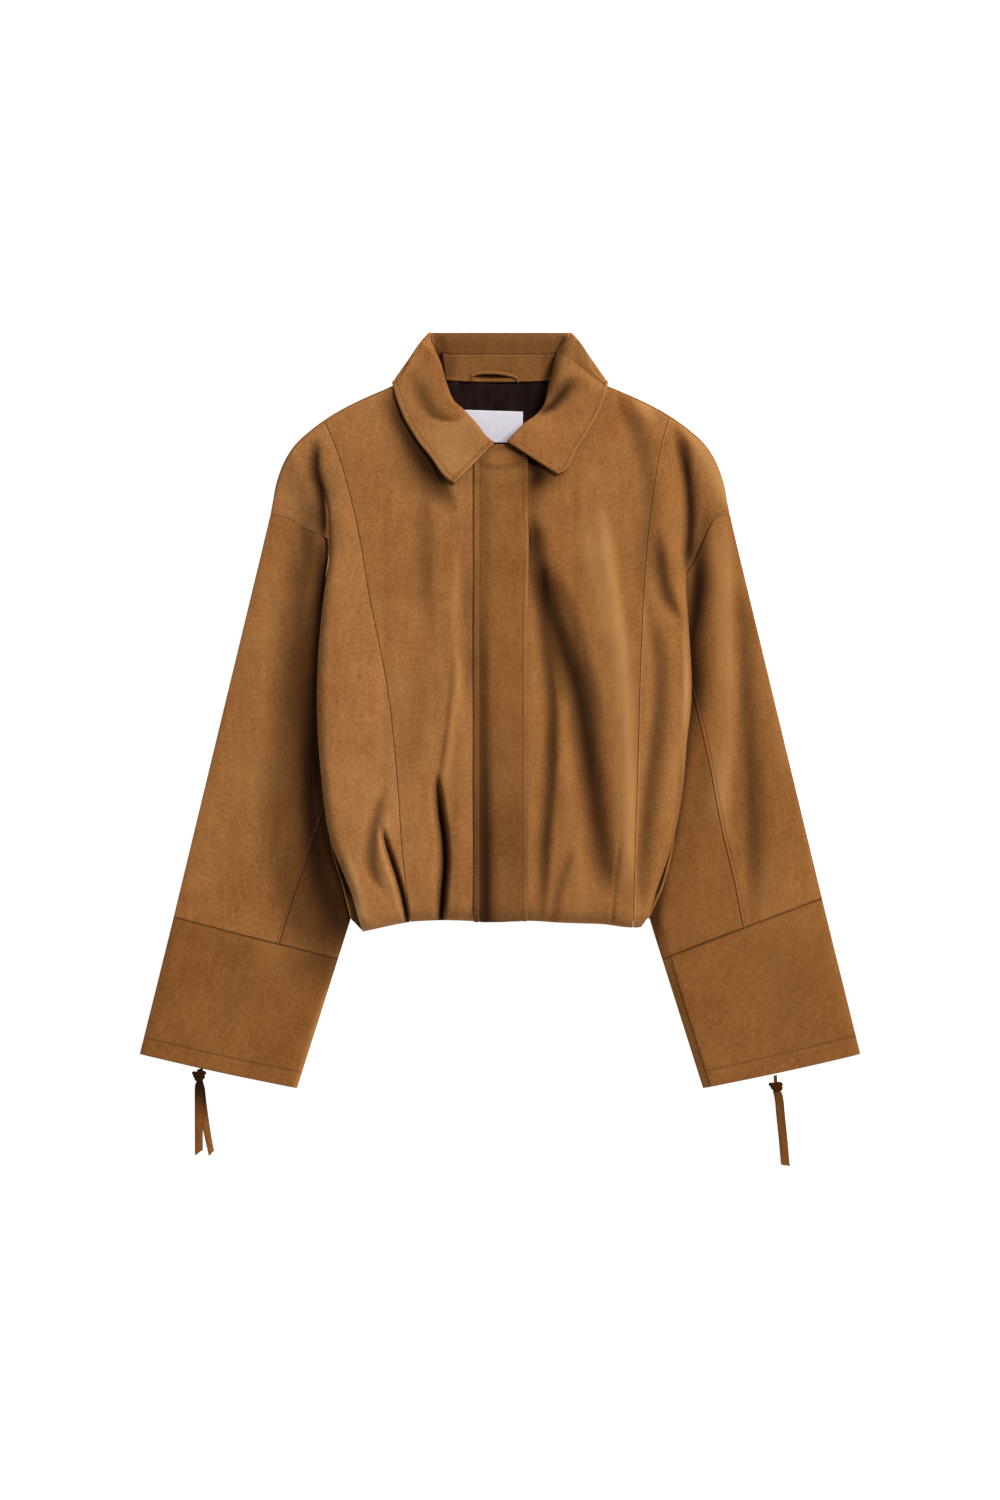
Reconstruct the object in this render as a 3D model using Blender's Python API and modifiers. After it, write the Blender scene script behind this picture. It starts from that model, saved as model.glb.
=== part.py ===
"""A cropped suede jacket, laid flat on its back with the front up and the collar towards +Y.

X runs across the jacket, Y up it and Z away from the surface that it lies on. Lengths are in
millimetres until a mesh is written. Sides are the wearer's, so the right side lies at -X.
Every piece is an open sheet, bent to shape from a grid, with a Solidify modifier for its wall.
"""

from collections import namedtuple

import bmesh
import bpy
import numpy as np

MM = 0.001

# Walls
SUEDE = 1.2
COLLAR_WALL = 2.0
LINING = 1.0
LACE = 1.5
SEAM = 0.3          # clear space at a seam, and between one layer and the next

# How high the layers lie
LAYER = SUEDE + SEAM
EDGE = LAYER + SUEDE + SEAM      # top of a front layer where it meets the back layer
SLEEVE_LOFT = 3.2                # a sleeve's front rises this much from its edges
SLEEVE_TOP = EDGE + SLEEVE_LOFT
OVER_SLEEVE = SLEEVE_TOP + 1.1   # underside of the back where it lies on a sleeve
OVER_COLLAR = COLLAR_WALL + 1.3  # underside of the back where it lies on the collar

SLEEVE_ROLL = 12.0               # radius at the sleeve's folded edges
SHOULDER_ROLL = 14.0
SHOULDER_CROWN = 75.0
SIDE_CROWN = 90.0
HEM_ROLL = 15.0
HEM_CROWN = 70.0

PLACKET_RIGHT, PLACKET_LEFT = -26.5, 27.5   # its edges, across the centre front
PLACKET_TOP = 266.0
UNDER_PLACKET = 12.0                        # what a front tucks under it

NECK_POINT = (73.0, 339.0)


def smooth(rows):
    """A smooth curve through rows of (place, value, ...), as a function of the place."""
    table = np.array(sorted(rows), float)
    place, values = table[:, 0], table[:, 1:]
    slopes = np.gradient(values, place, axis=0) if len(place) > 2 else None

    def at(where):
        where = np.clip(np.asarray(where, float), place[0], place[-1])
        k = np.clip(np.searchsorted(place, where, side="right") - 1, 0, len(place) - 2)
        step = place[k + 1] - place[k]
        t = ((where - place[k]) / step)[..., None]
        low, high = values[k], values[k + 1]
        if slopes is None:
            found = low + (high - low) * t
        else:
            rise, fall = slopes[k] * step[..., None], slopes[k + 1] * step[..., None]
            found = (
                low * (2 * t**3 - 3 * t**2 + 1) + rise * (t**3 - 2 * t**2 + t)
                + high * (3 * t**2 - 2 * t**3) + fall * (t**3 - t**2)
            )
        return found[..., 0] if found.shape[-1] == 1 else found

    return at


def line(points):
    """A smooth line through points, as a function that runs from 0 at its start to 1 at its end."""
    points = np.array(points, float)
    marks = np.concatenate([[0], np.cumsum(np.linalg.norm(np.diff(points, axis=0), axis=1))])
    return smooth([(mark, *point) for mark, point in zip(marks / marks[-1], points)])


def ease(value):
    value = np.clip(value, 0, 1)
    return value * value * (3 - 2 * value)


def roll(distance, radius):
    """The rise of a rolled edge: 0 at the edge, 1 from one radius in."""
    return np.sqrt(1 - (1 - np.clip(distance / radius, 0, 1)) ** 2)


# The outline of shoulder and sleeve, the same on both sides: how far out it is at each height
SHOULDER_LINE = (
    NECK_POINT, (105, 323.5), (117.5, 319), (140.5, 309.5), (169.5, 294.5), (191.5, 279.5),
    (206.5, 264.5), (215.5, 249.5), (221.5, 234.5), (225.5, 219.5), (227.5, 204.5), (229.0, 196.5),
)
SHOULDER_POINT = SHOULDER_LINE[-1]
CUFF_CORNER = (359.0, -343.0)
sleeve_outer = smooth([SHOULDER_POINT[::-1], CUFF_CORNER[::-1]])
sleeve_inner = smooth(
    [(-377.5, 203.5), (-295.0, 177.0), (-215.5, 151.5), (-100, 120), (0, 101), (100, 90), (160, 86)]
)

# What differs between the two sides. In a table of (height, out) each row is a level of the jacket.
# Where the armhole seam goes under the body it is tucked: tuck is how far out that is.
Side = namedtuple("Side", "sign edge princess armhole tuck crease sleeve_seam cuff_seam placket")
RIGHT = Side(
    sign=-1,
    edge=smooth([
        (340, 196), (245, 183), (200, 171), (165, 169.5), (110, 175.5), (50, 180.5), (-22, 180.5),
        (-70, 176.5), (-134, 166.5), (-173, 151.0), (-196, 144.5), (-220, 136.0),
    ]),
    princess=smooth([
        (290, 176.5), (273.5, 169), (197.5, 145.5), (109.5, 129.5), (29.5, 113.5), (-65.5, 102.5),
        (-139.5, 97.5), (-215, 89.5),
    ]),
    armhole=[SHOULDER_POINT, (207, 190), (196, 182), (184, 177), (168, 168), (130, 153), (86, 134)],
    tuck=172,
    crease=smooth([(300, 140), (245, 70), (205, 24), (165, 12), (150, 11), (130, 11), (-220, 11)]),
    sleeve_seam=smooth([
        (170, 140), (100, 138), (0, 150), (-106.5, 177.5), (-172.5, 201.5), (-234, 221.0),
    ]),
    cuff_seam=smooth([(160, -248.3), (240, -229), (328, -206.5)]),
    placket=PLACKET_RIGHT,
)
LEFT = Side(
    sign=1,
    edge=smooth([
        (340, 205), (245, 195), (200, 190), (165, 184.5), (110, 186.5), (69.5, 191.5), (9.5, 191.5),
        (-30.5, 186.5), (-78.5, 182.5), (-118.5, 175.5), (-150.5, 166.5), (-178.5, 156.5),
        (-205, 148.5), (-218, 140.5),
    ]),
    princess=smooth([
        (293, 170), (283.5, 166.5), (229.5, 154.5), (165.5, 146.5), (69.5, 140.5), (-70, 136.5),
        (-215, 132.5),
    ]),
    armhole=[SHOULDER_POINT, (211, 187.5), (201, 167), (189, 143), (172, 128), (130, 112), (87, 98)],
    tuck=187,
    crease=smooth([(300, 140), (245, 60), (205, 26), (165, 12), (150, 11), (130, 11), (-220, 11)]),
    sleeve_seam=smooth([
        (140, 160), (70, 178), (5.5, 196.5), (-50.5, 210.5), (-120.5, 224.5), (-172.5, 238.5),
        (-219, 249.0),
    ]),
    cuff_seam=smooth([(160, -249.0), (174.5, -243), (240.5, -218.5), (326, -188)]),
    placket=PLACKET_LEFT,
)
SIDES = ((RIGHT, "right"), (LEFT, "left"))
hem = smooth([
    (-138, -220.5), (-119.5, -218), (-95.5, -213), (-65.5, -210.5), (0, -212.5), (30.5, -210.5),
    (78.5, -213.5), (102.5, -214.5), (126.5, -217.5), (144, -217.5),
])

crown = smooth([(345, 14), (300, 16), (260, 18.5), (200, 23), (100, 27), (-50, 29), (-215, 26)])

# Folds: each is a course of (height, across) with its depth, below 0 for a trough, and half width.
Fold = namedtuple("Fold", "course depth spread")
BODY_FOLDS = (
    Fold(((197, -71), (130, -72), (69, -71)), -2.5, 12),                # soft trough on the right breast
    Fold(((160, -41), (30, -49), (-78, -60)), 3, 7),                    # ridge that runs into the pleat
    Fold(((-66, -61), (-116, -57), (-160, -55.5), (-240, -57.5)), -12, 4.5),   # the deep pleat
    Fold(((-118, -113), (-162, -98), (-240, -88)), -8, 4.5),            # hem pleat at the princess seam
    Fold(((-92, -121), (-134, -128), (-178, -116)), -4, 7),             # short bowed trough beside it
    Fold(((178, 33), (110, 54), (50, 74), (-22, 87), (-86, 99), (-134, 105), (-170, 109)), -9, 12),
    Fold(((24, 59), (-38, 54), (-102, 46.5), (-158, 45)), -5, 7),
    Fold(((-128, 119), (-170, 115), (-240, 111)), -7, 4.5),             # hem pleat on the left
    Fold(((-142, 71), (-165, 65), (-188, 58)), -3, 5),
    Fold(((180, 102), (110, 118), (10, 126), (-86, 132), (-155, 134)), 3, 10),
    Fold(((0, 151), (-86, 141), (-134, 139), (-180, 137)), -4, 7),
    Fold(((152, 161), (120, 172), (90, 183)), -3, 7),                   # drag line from the underarm
    Fold(((315, 122), (285, 134), (205, 145)), -2.5, 9),
)
SLEEVE_FOLDS = (
    Fold(((180, -203), (72, -215), (-32, -226), (-120, -229), (-180, -229)), -1.6, 15),
    Fold(((70, 246), (-15, 252), (-102, 254), (-180, 251)), -1.6, 13),
    Fold(((160, 204), (110, 199), (60, 196)), -1.2, 8),
)


def folded(folds, x, y):
    """The height that a table of folds adds at each place."""
    total = np.zeros(np.broadcast(x, y).shape)
    for fold in folds:
        top, bottom = fold.course[0][0], fold.course[-1][0]
        fade = 0.28 * (top - bottom)
        along = ease((top - y) / fade) * ease((y - bottom) / fade)
        beside = (x - smooth(fold.course)(y)) / fold.spread
        total += fold.depth * along * np.exp(-beside**2)
    return total


def distance(points, x, y):
    """How far each place is from the line through points."""
    near = line(points)(np.linspace(0, 1, 160))
    out = np.abs(x)
    return np.sqrt(np.min((out[..., None] - near[:, 0]) ** 2 + (y[..., None] - near[:, 1]) ** 2, axis=-1))


def by_side(x, right, left):
    return np.where(x < 0, right, left)


def back_height(x, y):
    """Underside of the back: on the surface, and over the sleeves and the collar where they lie under it."""
    out = np.abs(x)
    armhole = by_side(x, *(smooth(side.armhole)(out) for side in (RIGHT, LEFT)))
    into_sleeve = np.minimum(out - sleeve_inner(y), armhole - y)
    climb = ease((into_sleeve + 48) / 28)
    clear = ease((out - 182) / 22) * ease((y - by_side(x, 160, 120)) / 24)
    collar = ease((y - 250) / 50) * ease((132 - out) / 18)
    return OVER_SLEEVE * climb * (1 - clear) + OVER_COLLAR * collar


def front_height(x, y):
    """Top of the fronts: lofted over the back, rolled down at the shoulders, the sides and the hem."""
    out = np.abs(x)
    edge = by_side(x, RIGHT.edge(y), LEFT.edge(y)) - out
    tight = by_side(x, RIGHT.crease(y), LEFT.crease(y))
    to_shoulder = distance(SHOULDER_LINE, x, y)
    to_hem = y - hem(x)
    side = 0.5 * roll(edge, tight) + 0.5 * roll(edge, np.maximum(SIDE_CROWN, tight))
    foot = 0.6 * roll(to_hem, HEM_ROLL) + 0.4 * roll(to_hem, HEM_CROWN)
    lofted = side * foot * roll(to_shoulder, SHOULDER_CROWN)
    cap = SLEEVE_LOFT * roll(to_shoulder, SHOULDER_ROLL) * ease((y - 150) / 25)
    low = EDGE + back_height(x, y)
    height = low + cap * (1 - lofted) + (crown(y) + EDGE - low) * lofted
    room = ease(edge / 14) * roll(to_hem, HEM_ROLL) * roll(to_shoulder, SHOULDER_ROLL)
    room = room * ease((out - 20) / 12)
    return np.maximum(height + folded(BODY_FOLDS, x, y) * room, low)


def sleeve_height(x, y):
    """Top of a sleeve: rolled at both edges, and 4 mm or less clear of its back."""
    out = np.abs(x)
    edges = roll(sleeve_outer(y) - out, SLEEVE_ROLL) * roll(out - sleeve_inner(y), SLEEVE_ROLL)
    return EDGE + (SLEEVE_LOFT + folded(SLEEVE_FOLDS, x, y)) * edges


def on(height, x, y, lift=0.0):
    """Points on a height, moved out along its normal by the lift."""
    step = 0.5
    rise_x = (height(x + step, y) - height(x - step, y)) / (2 * step)
    rise_y = (height(x, y + step) - height(x, y - step)) / (2 * step)
    normal = np.stack([-rise_x, -rise_y, np.ones_like(rise_x)], axis=-1)
    normal /= np.linalg.norm(normal, axis=-1, keepdims=True)
    return np.stack([x, y, height(x, y)], axis=-1) + normal * lift


def patch(bottom, top, left, right):
    """The flat pattern between four lines; left and right run up, bottom and top run towards +X."""

    def at(u, v):
        u, v = u[..., None], v[..., None]
        corner = [line_(np.array(float(end))) for line_ in (bottom, top) for end in (0, 1)]
        across = (1 - v) * bottom(u[..., 0]) + v * top(u[..., 0])
        along = (1 - u) * left(v[..., 0]) + u * right(v[..., 0])
        low = (1 - u) * corner[0] + u * corner[1]
        high = (1 - u) * corner[2] + u * corner[3]
        place = across + along - (1 - v) * low - v * high
        return place[..., 0], place[..., 1]

    return at


def flip(line_):
    return lambda t: line_(1 - t)


def facing(sign, bottom, top, inner, outer):
    """The pattern of a piece at one side. Bottom and top run outwards, inner and outer run up."""
    if sign > 0:
        return patch(bottom, top, inner, outer)
    return patch(flip(bottom), flip(top), outer, inner)


def rising(out_at, low, high, sign, shift=0.0):
    """A line that runs up from low to high at the distance out that a table gives for each height."""

    def at(t):
        y = low + (high - low) * t
        return np.stack([sign * (out_at(y) + shift), y], axis=-1)

    return at


def outwards(height_at, start, end, sign, shift=0.0):
    """A line that runs outwards from start to end at the height that a table gives for each place."""

    def at(t):
        out = start + (end - start) * t
        return np.stack([sign * out, height_at(out) + shift], axis=-1)

    return at


def mirrored(points, sign):
    return [(sign * x, y) for x, y in points]


def suede(name, colour, roughness=0.95):
    """A material in an sRGB colour, given from 0 to 255."""
    material = bpy.data.materials.new(name)
    material.use_nodes = True
    linear = [((c / 255 + 0.055) / 1.055) ** 2.4 for c in colour]
    shader = material.node_tree.nodes["Principled BSDF"]
    shader.inputs["Base Color"].default_value = (*linear, 1)
    shader.inputs["Roughness"].default_value = roughness
    shader.inputs["Metallic"].default_value = 0.0
    material.diffuse_color = (*linear, 1)
    return material


def sheet(name, surface, columns, rows, wall, material, underside=False, ring=False):
    """A piece of cloth: a grid bent onto surface(u, v), with a wall on its inner side."""
    bm = bmesh.new()
    bmesh.ops.create_grid(bm, x_segments=columns, y_segments=rows, size=0.5)
    flat = np.array([vert.co for vert in bm.verts]) + 0.5
    for vert, point in zip(bm.verts, surface(flat[:, 0], flat[:, 1])):
        vert.co = point * MM
    if ring:
        bmesh.ops.remove_doubles(bm, verts=bm.verts, dist=1e-6)
    if underside:
        bmesh.ops.reverse_faces(bm, faces=bm.faces)
    return piece(name, bm, wall, material)


def piece(name, bm, wall, material):
    mesh = bpy.data.meshes.new(name)
    bm.to_mesh(mesh)
    bm.free()
    mesh.shade_smooth()
    mesh.materials.append(material)
    obj = bpy.data.objects.new(name, mesh)
    collection.objects.link(obj)
    if wall:
        solid = obj.modifiers.new("wall", "SOLIDIFY")
        solid.thickness = wall * MM
        solid.offset = -1
    return obj


def armhole_points(side, shift=0.0):
    """The stretch of the armhole that isn't folded under the body, from the shoulder point inwards."""
    height = smooth(side.armhole)
    return [(float(out), float(height(out)) + shift) for out in np.linspace(SHOULDER_POINT[0], side.tuck, 12)]


def make_back(material):
    """Back panel, from the shoulders to the hem, and draped over the sleeves' hidden halves."""
    proud = smooth([(200, -1.5), (0, -1.5), (-90, -1.5), (-110, -1), (-140, 2.5), (-180, 5.5), (-215, 5.5)])
    sides = []
    for side in (RIGHT, LEFT):
        armhole = armhole_points(side, 2.0)
        levels = np.linspace(armhole[-1][1] - 14, -205, 12)
        down = [(float(side.edge(y) + proud(y)), float(y)) for y in levels]
        sides.append(line(mirrored(armhole + down, side.sign)))
    neck = [(-52, 331), (0, 326.5), (52, 331)]
    top = line(mirrored(SHOULDER_LINE[::-1], -1) + neck + list(SHOULDER_LINE))
    corners = [side(np.array(1.0)) for side in sides]
    bottom = line([corners[0], (-130, -212), (-60, -207), (0, -208), (60, -208), (130, -211), corners[1]])
    pattern = patch(bottom, top, flip(sides[0]), flip(sides[1]))

    def surface(u, v):
        x, y = pattern(u, v)
        return np.stack([x, y, back_height(x, y)], axis=-1)

    sheet("back_panel", surface, 22, 18, SUEDE, material, underside=True)


LINING_HALF, LINING_FOOT, LINING_TOP, LINING_DIP = 72.0, 232.0, 322.0, 6.0
OVER_BACK = SUEDE + SEAM + LINING + 0.5       # top of the lining above the underside of the back
LABEL_CORNER, LABEL_WIDTH, LABEL_HEIGHT = (-37.5, 258.0), 61.0, 41.5


def make_lining(lining, label):
    """The dark lining and the blank label that show inside the neck."""

    def lining_surface(u, v):
        across = 2 * u - 1
        top = LINING_TOP + LINING_DIP * across**2
        return on(back_height, LINING_HALF * across, LINING_FOOT + (top - LINING_FOOT) * v, OVER_BACK)

    def label_surface(u, v):
        x, y = LABEL_CORNER[0] + LABEL_WIDTH * u, LABEL_CORNER[1] + LABEL_HEIGHT * v
        return on(back_height, x, y, OVER_BACK + LINING + 2 * SEAM)

    sheet("back_lining", lining_surface, 8, 6, LINING, lining)
    sheet("neck_label", label_surface, 4, 3, LINING, label)


TAKEN_UP = 14.0      # how far below the armhole's end the body's side edge starts
HEM_CORNER = (6.0, 9.0)      # how far in and up the rounded corner at the hem starts


def make_fronts(material):
    """Centre front and side front of each side, joined by the princess seam."""
    for side, word in SIDES:
        sign = side.sign
        princess_top = float(side.princess(295))
        seam_top = (princess_top, float(smooth(SHOULDER_LINE[:8])(princess_top)))
        shoulder = [p for p in SHOULDER_LINE if p[0] < princess_top - 4][1:]
        tuck = abs(side.placket) - UNDER_PLACKET
        neckline = [NECK_POINT, (65, 326), (55, 305), (42, 286), (27, 270), (tuck, 263)]
        hem_seam = float(side.princess(-215))

        def hem_here(out, sign=sign):
            return hem(sign * out)

        centre_edge = line(mirrored([(tuck, hem_here(tuck)), (tuck, 100), neckline[-1]], sign))
        seam, gap = (
            rising(side.princess, float(hem_here(hem_seam)), seam_top[1], sign, shift)
            for shift in (-0.7 * SEAM, 0.7 * SEAM)
        )
        top = line(mirrored(neckline[::-1] + shoulder + [seam_top], sign))
        pattern = facing(sign, outwards(hem_here, tuck, hem_seam, sign), top, centre_edge, seam)
        sheet("front_centre_" + word, drape(pattern, front_height), 14, 34, SUEDE, material)

        outer_shoulder = [p for p in SHOULDER_LINE if p[0] > princess_top + 4]
        armhole = armhole_points(side)
        levels = np.linspace(armhole[-1][1] - TAKEN_UP, float(hem(sign * 140)) + HEM_CORNER[1], 14)
        down = [(float(side.edge(y)), float(y)) for y in levels]
        corner_out = down[-1][0] - HEM_CORNER[0]
        corner = (corner_out, float(hem_here(corner_out)) + 0.5)
        outer = flip(line(mirrored(armhole + down + [corner], sign)))
        top = line(mirrored([seam_top] + outer_shoulder, sign))
        middle = (hem_seam + corner_out) / 2
        foot = line(mirrored([(hem_seam, hem_here(hem_seam)), (middle, hem_here(middle)), corner], sign))
        pattern = facing(sign, foot, top, gap, outer)
        sheet("front_side_" + word, drape(to_edge(pattern, sign), front_height), 10, 30, SUEDE, material)


def drape(pattern, height, lift=0.0):
    """A pattern laid on a height, with its rows closer together at the top and the bottom."""
    return lambda u, v: on(height, *pattern(u, 0.3 * v + 0.7 * ease_in(v)), lift)


def to_edge(pattern, sign):
    """The pattern with its columns closer together towards the side of the body."""
    return lambda u, v: pattern(u**1.5 if sign < 0 else 1 - (1 - u) ** 1.5, v)


PLACKET_LIFT = SUEDE + SEAM + 0.5       # its top above the fronts' top


def make_placket(material):
    """The fly band down the centre front, on top of both fronts."""
    pattern = patch(
        outwards(hem, PLACKET_RIGHT, PLACKET_LEFT, 1),
        line([(PLACKET_RIGHT, PLACKET_TOP), (0, PLACKET_TOP + 1), (PLACKET_LEFT, PLACKET_TOP)]),
        line([(PLACKET_RIGHT, hem(PLACKET_RIGHT)), (PLACKET_RIGHT, 0), (PLACKET_RIGHT, PLACKET_TOP)]),
        line([(PLACKET_LEFT, hem(PLACKET_LEFT)), (PLACKET_LEFT, 0), (PLACKET_LEFT, PLACKET_TOP)]),
    )
    sheet("placket", drape(pattern, front_height, PLACKET_LIFT), 6, 34, SUEDE, material)


def make_sleeves(material):
    """Each sleeve: an outer and an inner piece on top, joined at the front seam, and a back below."""
    for side, word in SIDES:
        armhole_at, underarm = smooth(side.armhole), side.armhole[-1]
        seam_top, seam_foot = float(side.sleeve_seam(200)), float(side.sleeve_seam(-300))
        outer_low, inner_low = float(side.cuff_seam(330)), float(side.cuff_seam(150))
        outer_foot, inner_foot = float(sleeve_outer(outer_low)), float(sleeve_inner(inner_low))

        def mouth(start, end):
            return outwards(side.cuff_seam, start, end, side.sign, SEAM / 2)

        def top(start, end):
            return outwards(armhole_at, start, end, side.sign, -SEAM)

        def edge(table, low, high, shift=0.0):
            return rising(table, low + SEAM / 2, high - SEAM / 2, side.sign, shift)

        low, high = float(side.cuff_seam(seam_foot)), float(armhole_at(seam_top))
        inside, outside = (edge(side.sleeve_seam, low, high, shift) for shift in (-SEAM / 2, SEAM / 2))
        outer = edge(sleeve_outer, outer_low, SHOULDER_POINT[1])
        inner = edge(sleeve_inner, inner_low, underarm[1])
        shoulder = SHOULDER_POINT[0]
        upper = facing(side.sign, mouth(seam_foot, outer_foot), top(seam_top, shoulder), outside, outer)
        front = facing(side.sign, mouth(inner_foot, seam_foot), top(underarm[0], seam_top), inner, inside)
        whole = facing(side.sign, mouth(inner_foot, outer_foot), top(underarm[0], shoulder), inner, outer)
        sheet("sleeve_upper_" + word, drape(upper, sleeve_height), 9, 16, SUEDE, material)
        sheet("sleeve_front_" + word, drape(front, sleeve_height), 6, 14, SUEDE, material)
        sheet("sleeve_back_" + word, drape(whole, lambda x, y: 0 * x), 6, 10, SUEDE, material, underside=True)
        ends = (inner_foot, inner_low), (outer_foot, outer_low)
        make_cuff("cuff_" + word, side, *ends, material)


CUFF_MOUTH = ((203.2, -376.8), (258.5, -367.5), (308.5, -356.5), CUFF_CORNER)
BACK_ROLL = 2.0      # radius at the flat side of a folded edge


def make_cuff(name, side, inner_top, outer_top, material):
    """A deep cuff: a flattened tube, flat below and rolled at both edges, with an open mouth."""
    mouth = line(CUFF_MOUTH)
    seam = line([inner_top, (240, float(side.cuff_seam(240))), outer_top])
    across = np.linalg.norm(np.subtract(CUFF_MOUTH[-1], CUFF_MOUTH[0]))

    def surface(u, v):
        over = np.where(u <= 0.5, ease_in(2 * u), ease_in(2 - 2 * u))
        low, high = mouth(over), seam(over) - (0, SEAM / 2)
        place = low + (high - low) * v[..., None]
        from_edge = np.minimum(over, 1 - over) * across
        top = EDGE / 2 + (SLEEVE_TOP - EDGE / 2) * roll(from_edge, SLEEVE_ROLL)
        bottom = EDGE / 2 * (1 - roll(from_edge, BACK_ROLL))
        return np.stack([side.sign * place[:, 0], place[:, 1], np.where(u <= 0.5, top, bottom)], axis=-1)

    sheet(name, surface, 26, 4, SUEDE, material, ring=True, underside=side.sign < 0)


def ease_in(t):
    """From 0 to 1, with points closer together at both ends."""
    return 0.5 - 0.5 * np.cos(np.pi * np.clip(t, 0, 1))


# The collar. A station gives, in turn, its seam to the stand, its roll line and its free edge.
Station = namedtuple("Station", "seam roll crest edge")
WING_RIGHT = (   # roll line across and up, then free edge across and up
    (5, 266, 46, 227), (13, 272, 54, 231.5), (22, 283, 67.5, 250.5), (36, 298.5, 81.5, 268.5),
    (46, 308, 93.5, 288.5), (52.5, 323.5, 101, 306), (58.0, 343, 105.5, 317),
)
WING_LEFT = (
    (9.5, 267, 58.5, 236.5), (18.5, 275, 66, 241), (26, 282.5, 76, 257), (36, 291, 87, 275),
    (45, 302.5, 97, 292.5), (50.5, 323.5, 103.5, 308), (56.5, 345, 106.5, 317.5),
)
BACK_ROLL_Y, BACK_SEAM_Y, BACK_EDGE_Y = 376.5, 356.0, 309.0
COLLAR_TOP = 10.0       # height of the collar's inner face at the back
ROLL_RISE = 4.4         # rise of the roll above the collar's fall


CORNER_ROWS = (      # the collar's turn from the front of the neck to its back
    ((62, 351.5, 8.4), (64.5, 359, 10.5), (69, 359, 14.6), (108.3, 324.5, 9.3)),
    ((61, 355, 9.2), (70.5, 376.3, 7.6), (74.5, 370.7, 9.2), (110.5, 328.3, 4.9)),
    ((59, 356, 9.8), (67, 376.5, 5.2), (70.5, 374.8, 0.9), (111.6, 327.2, 0.1)),
    ((55, 356, 9.9), (60, 376.5, 5.0), (62, 374.0, 0.6), (101, 314.5, 0.0)),
)
BACK_STATIONS = (-45, -20, 20, 45)
FALL_LIFT = COLLAR_WALL + SEAM + 0.3          # top of the collar's fall above the fronts' top
SECTION_MARKS = (0, 0.18, 0.34, 0.5, 0.75, 1)


def fall_height(x, y):
    """Top of the collar's fall where it lies on the fronts, and on the placket between them."""
    over_placket = PLACKET_LIFT * ease((36 - abs(x)) / 8)
    return float(front_height(np.array(float(x)), np.array(float(y)))) + FALL_LIFT + over_placket


def wing_station(row, sign):
    roll_x, roll_y, edge_x, edge_y = row
    away = np.array([edge_x - roll_x, edge_y - roll_y], float)
    away /= np.linalg.norm(away)
    top = fall_height(sign * roll_x, roll_y) + ROLL_RISE
    bottom = top - ROLL_RISE - FALL_LIFT + 0.6

    def beside(steps, z):
        return (sign * (roll_x + away[0] * steps), roll_y + away[1] * steps, z)

    return Station(
        seam=beside(9, bottom), roll=beside(0, (top + bottom) / 2), crest=beside(3.2, top),
        edge=(sign * edge_x, edge_y, fall_height(sign * edge_x, edge_y)),
    )


def corner_stations(sign):
    return [Station(*((sign * x, y, z) for x, y, z in row)) for row in CORNER_ROWS]


def back_station(x):
    return Station(
        seam=(x, BACK_SEAM_Y, COLLAR_TOP), roll=(x, BACK_ROLL_Y, COLLAR_TOP / 2),
        crest=(x, BACK_ROLL_Y - 2.5, 0.6), edge=(x * 1.5, BACK_EDGE_Y, 0.0),
    )


def make_collar(material):
    """The collar: folded along the roll line, its points on the fronts and its back under the back."""
    stations = (
        [wing_station(row, -1) for row in WING_RIGHT] + corner_stations(-1)
        + [back_station(x) for x in BACK_STATIONS]
        + corner_stations(1)[::-1] + [wing_station(row, 1) for row in WING_LEFT[::-1]]
    )
    flat = np.array([[*s.seam, *s.roll, *s.crest, *s.edge] for s in stations])
    marks = np.concatenate([[0], np.cumsum(np.linalg.norm(np.diff(flat, axis=0), axis=1))])
    along = smooth([(mark, *row) for mark, row in zip(marks / marks[-1], flat)])

    def surface(u, v):
        """Each section goes from its seam round the roll line to its free edge."""
        seam, roll_, crest, edge = np.split(along(u), 4, axis=-1)
        near = 0.3 * seam + 0.7 * np.concatenate([roll_[:, :2], seam[:, 2:]], axis=1)
        knots = np.stack([seam, near, roll_, crest, (crest + edge) / 2, edge], axis=1)
        found = np.array([
            smooth([(mark, *point) for mark, point in zip(SECTION_MARKS, section)])(np.array(share))
            for section, share in zip(knots, v)
        ])
        least = front_height(found[:, 0], found[:, 1]) + FALL_LIFT
        on_front = (found[:, 2] > COLLAR_TOP) & (v > 0.5)
        found[:, 2] = np.maximum(np.where(on_front, np.maximum(found[:, 2], least), found[:, 2]), 0)
        return found

    sheet("collar_fall", surface, 52, 6, COLLAR_WALL, material)


STAND_WALL, STAND_HALF, STAND_FOOT, STAND_FOOT_Z = 1.6, 58.0, 327.6, 8.1
LOOP_START, LOOP_LENGTH, LOOP_WIDTH, LOOP_RISE = -27.5, 46.0, 4.4, 10.0


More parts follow.
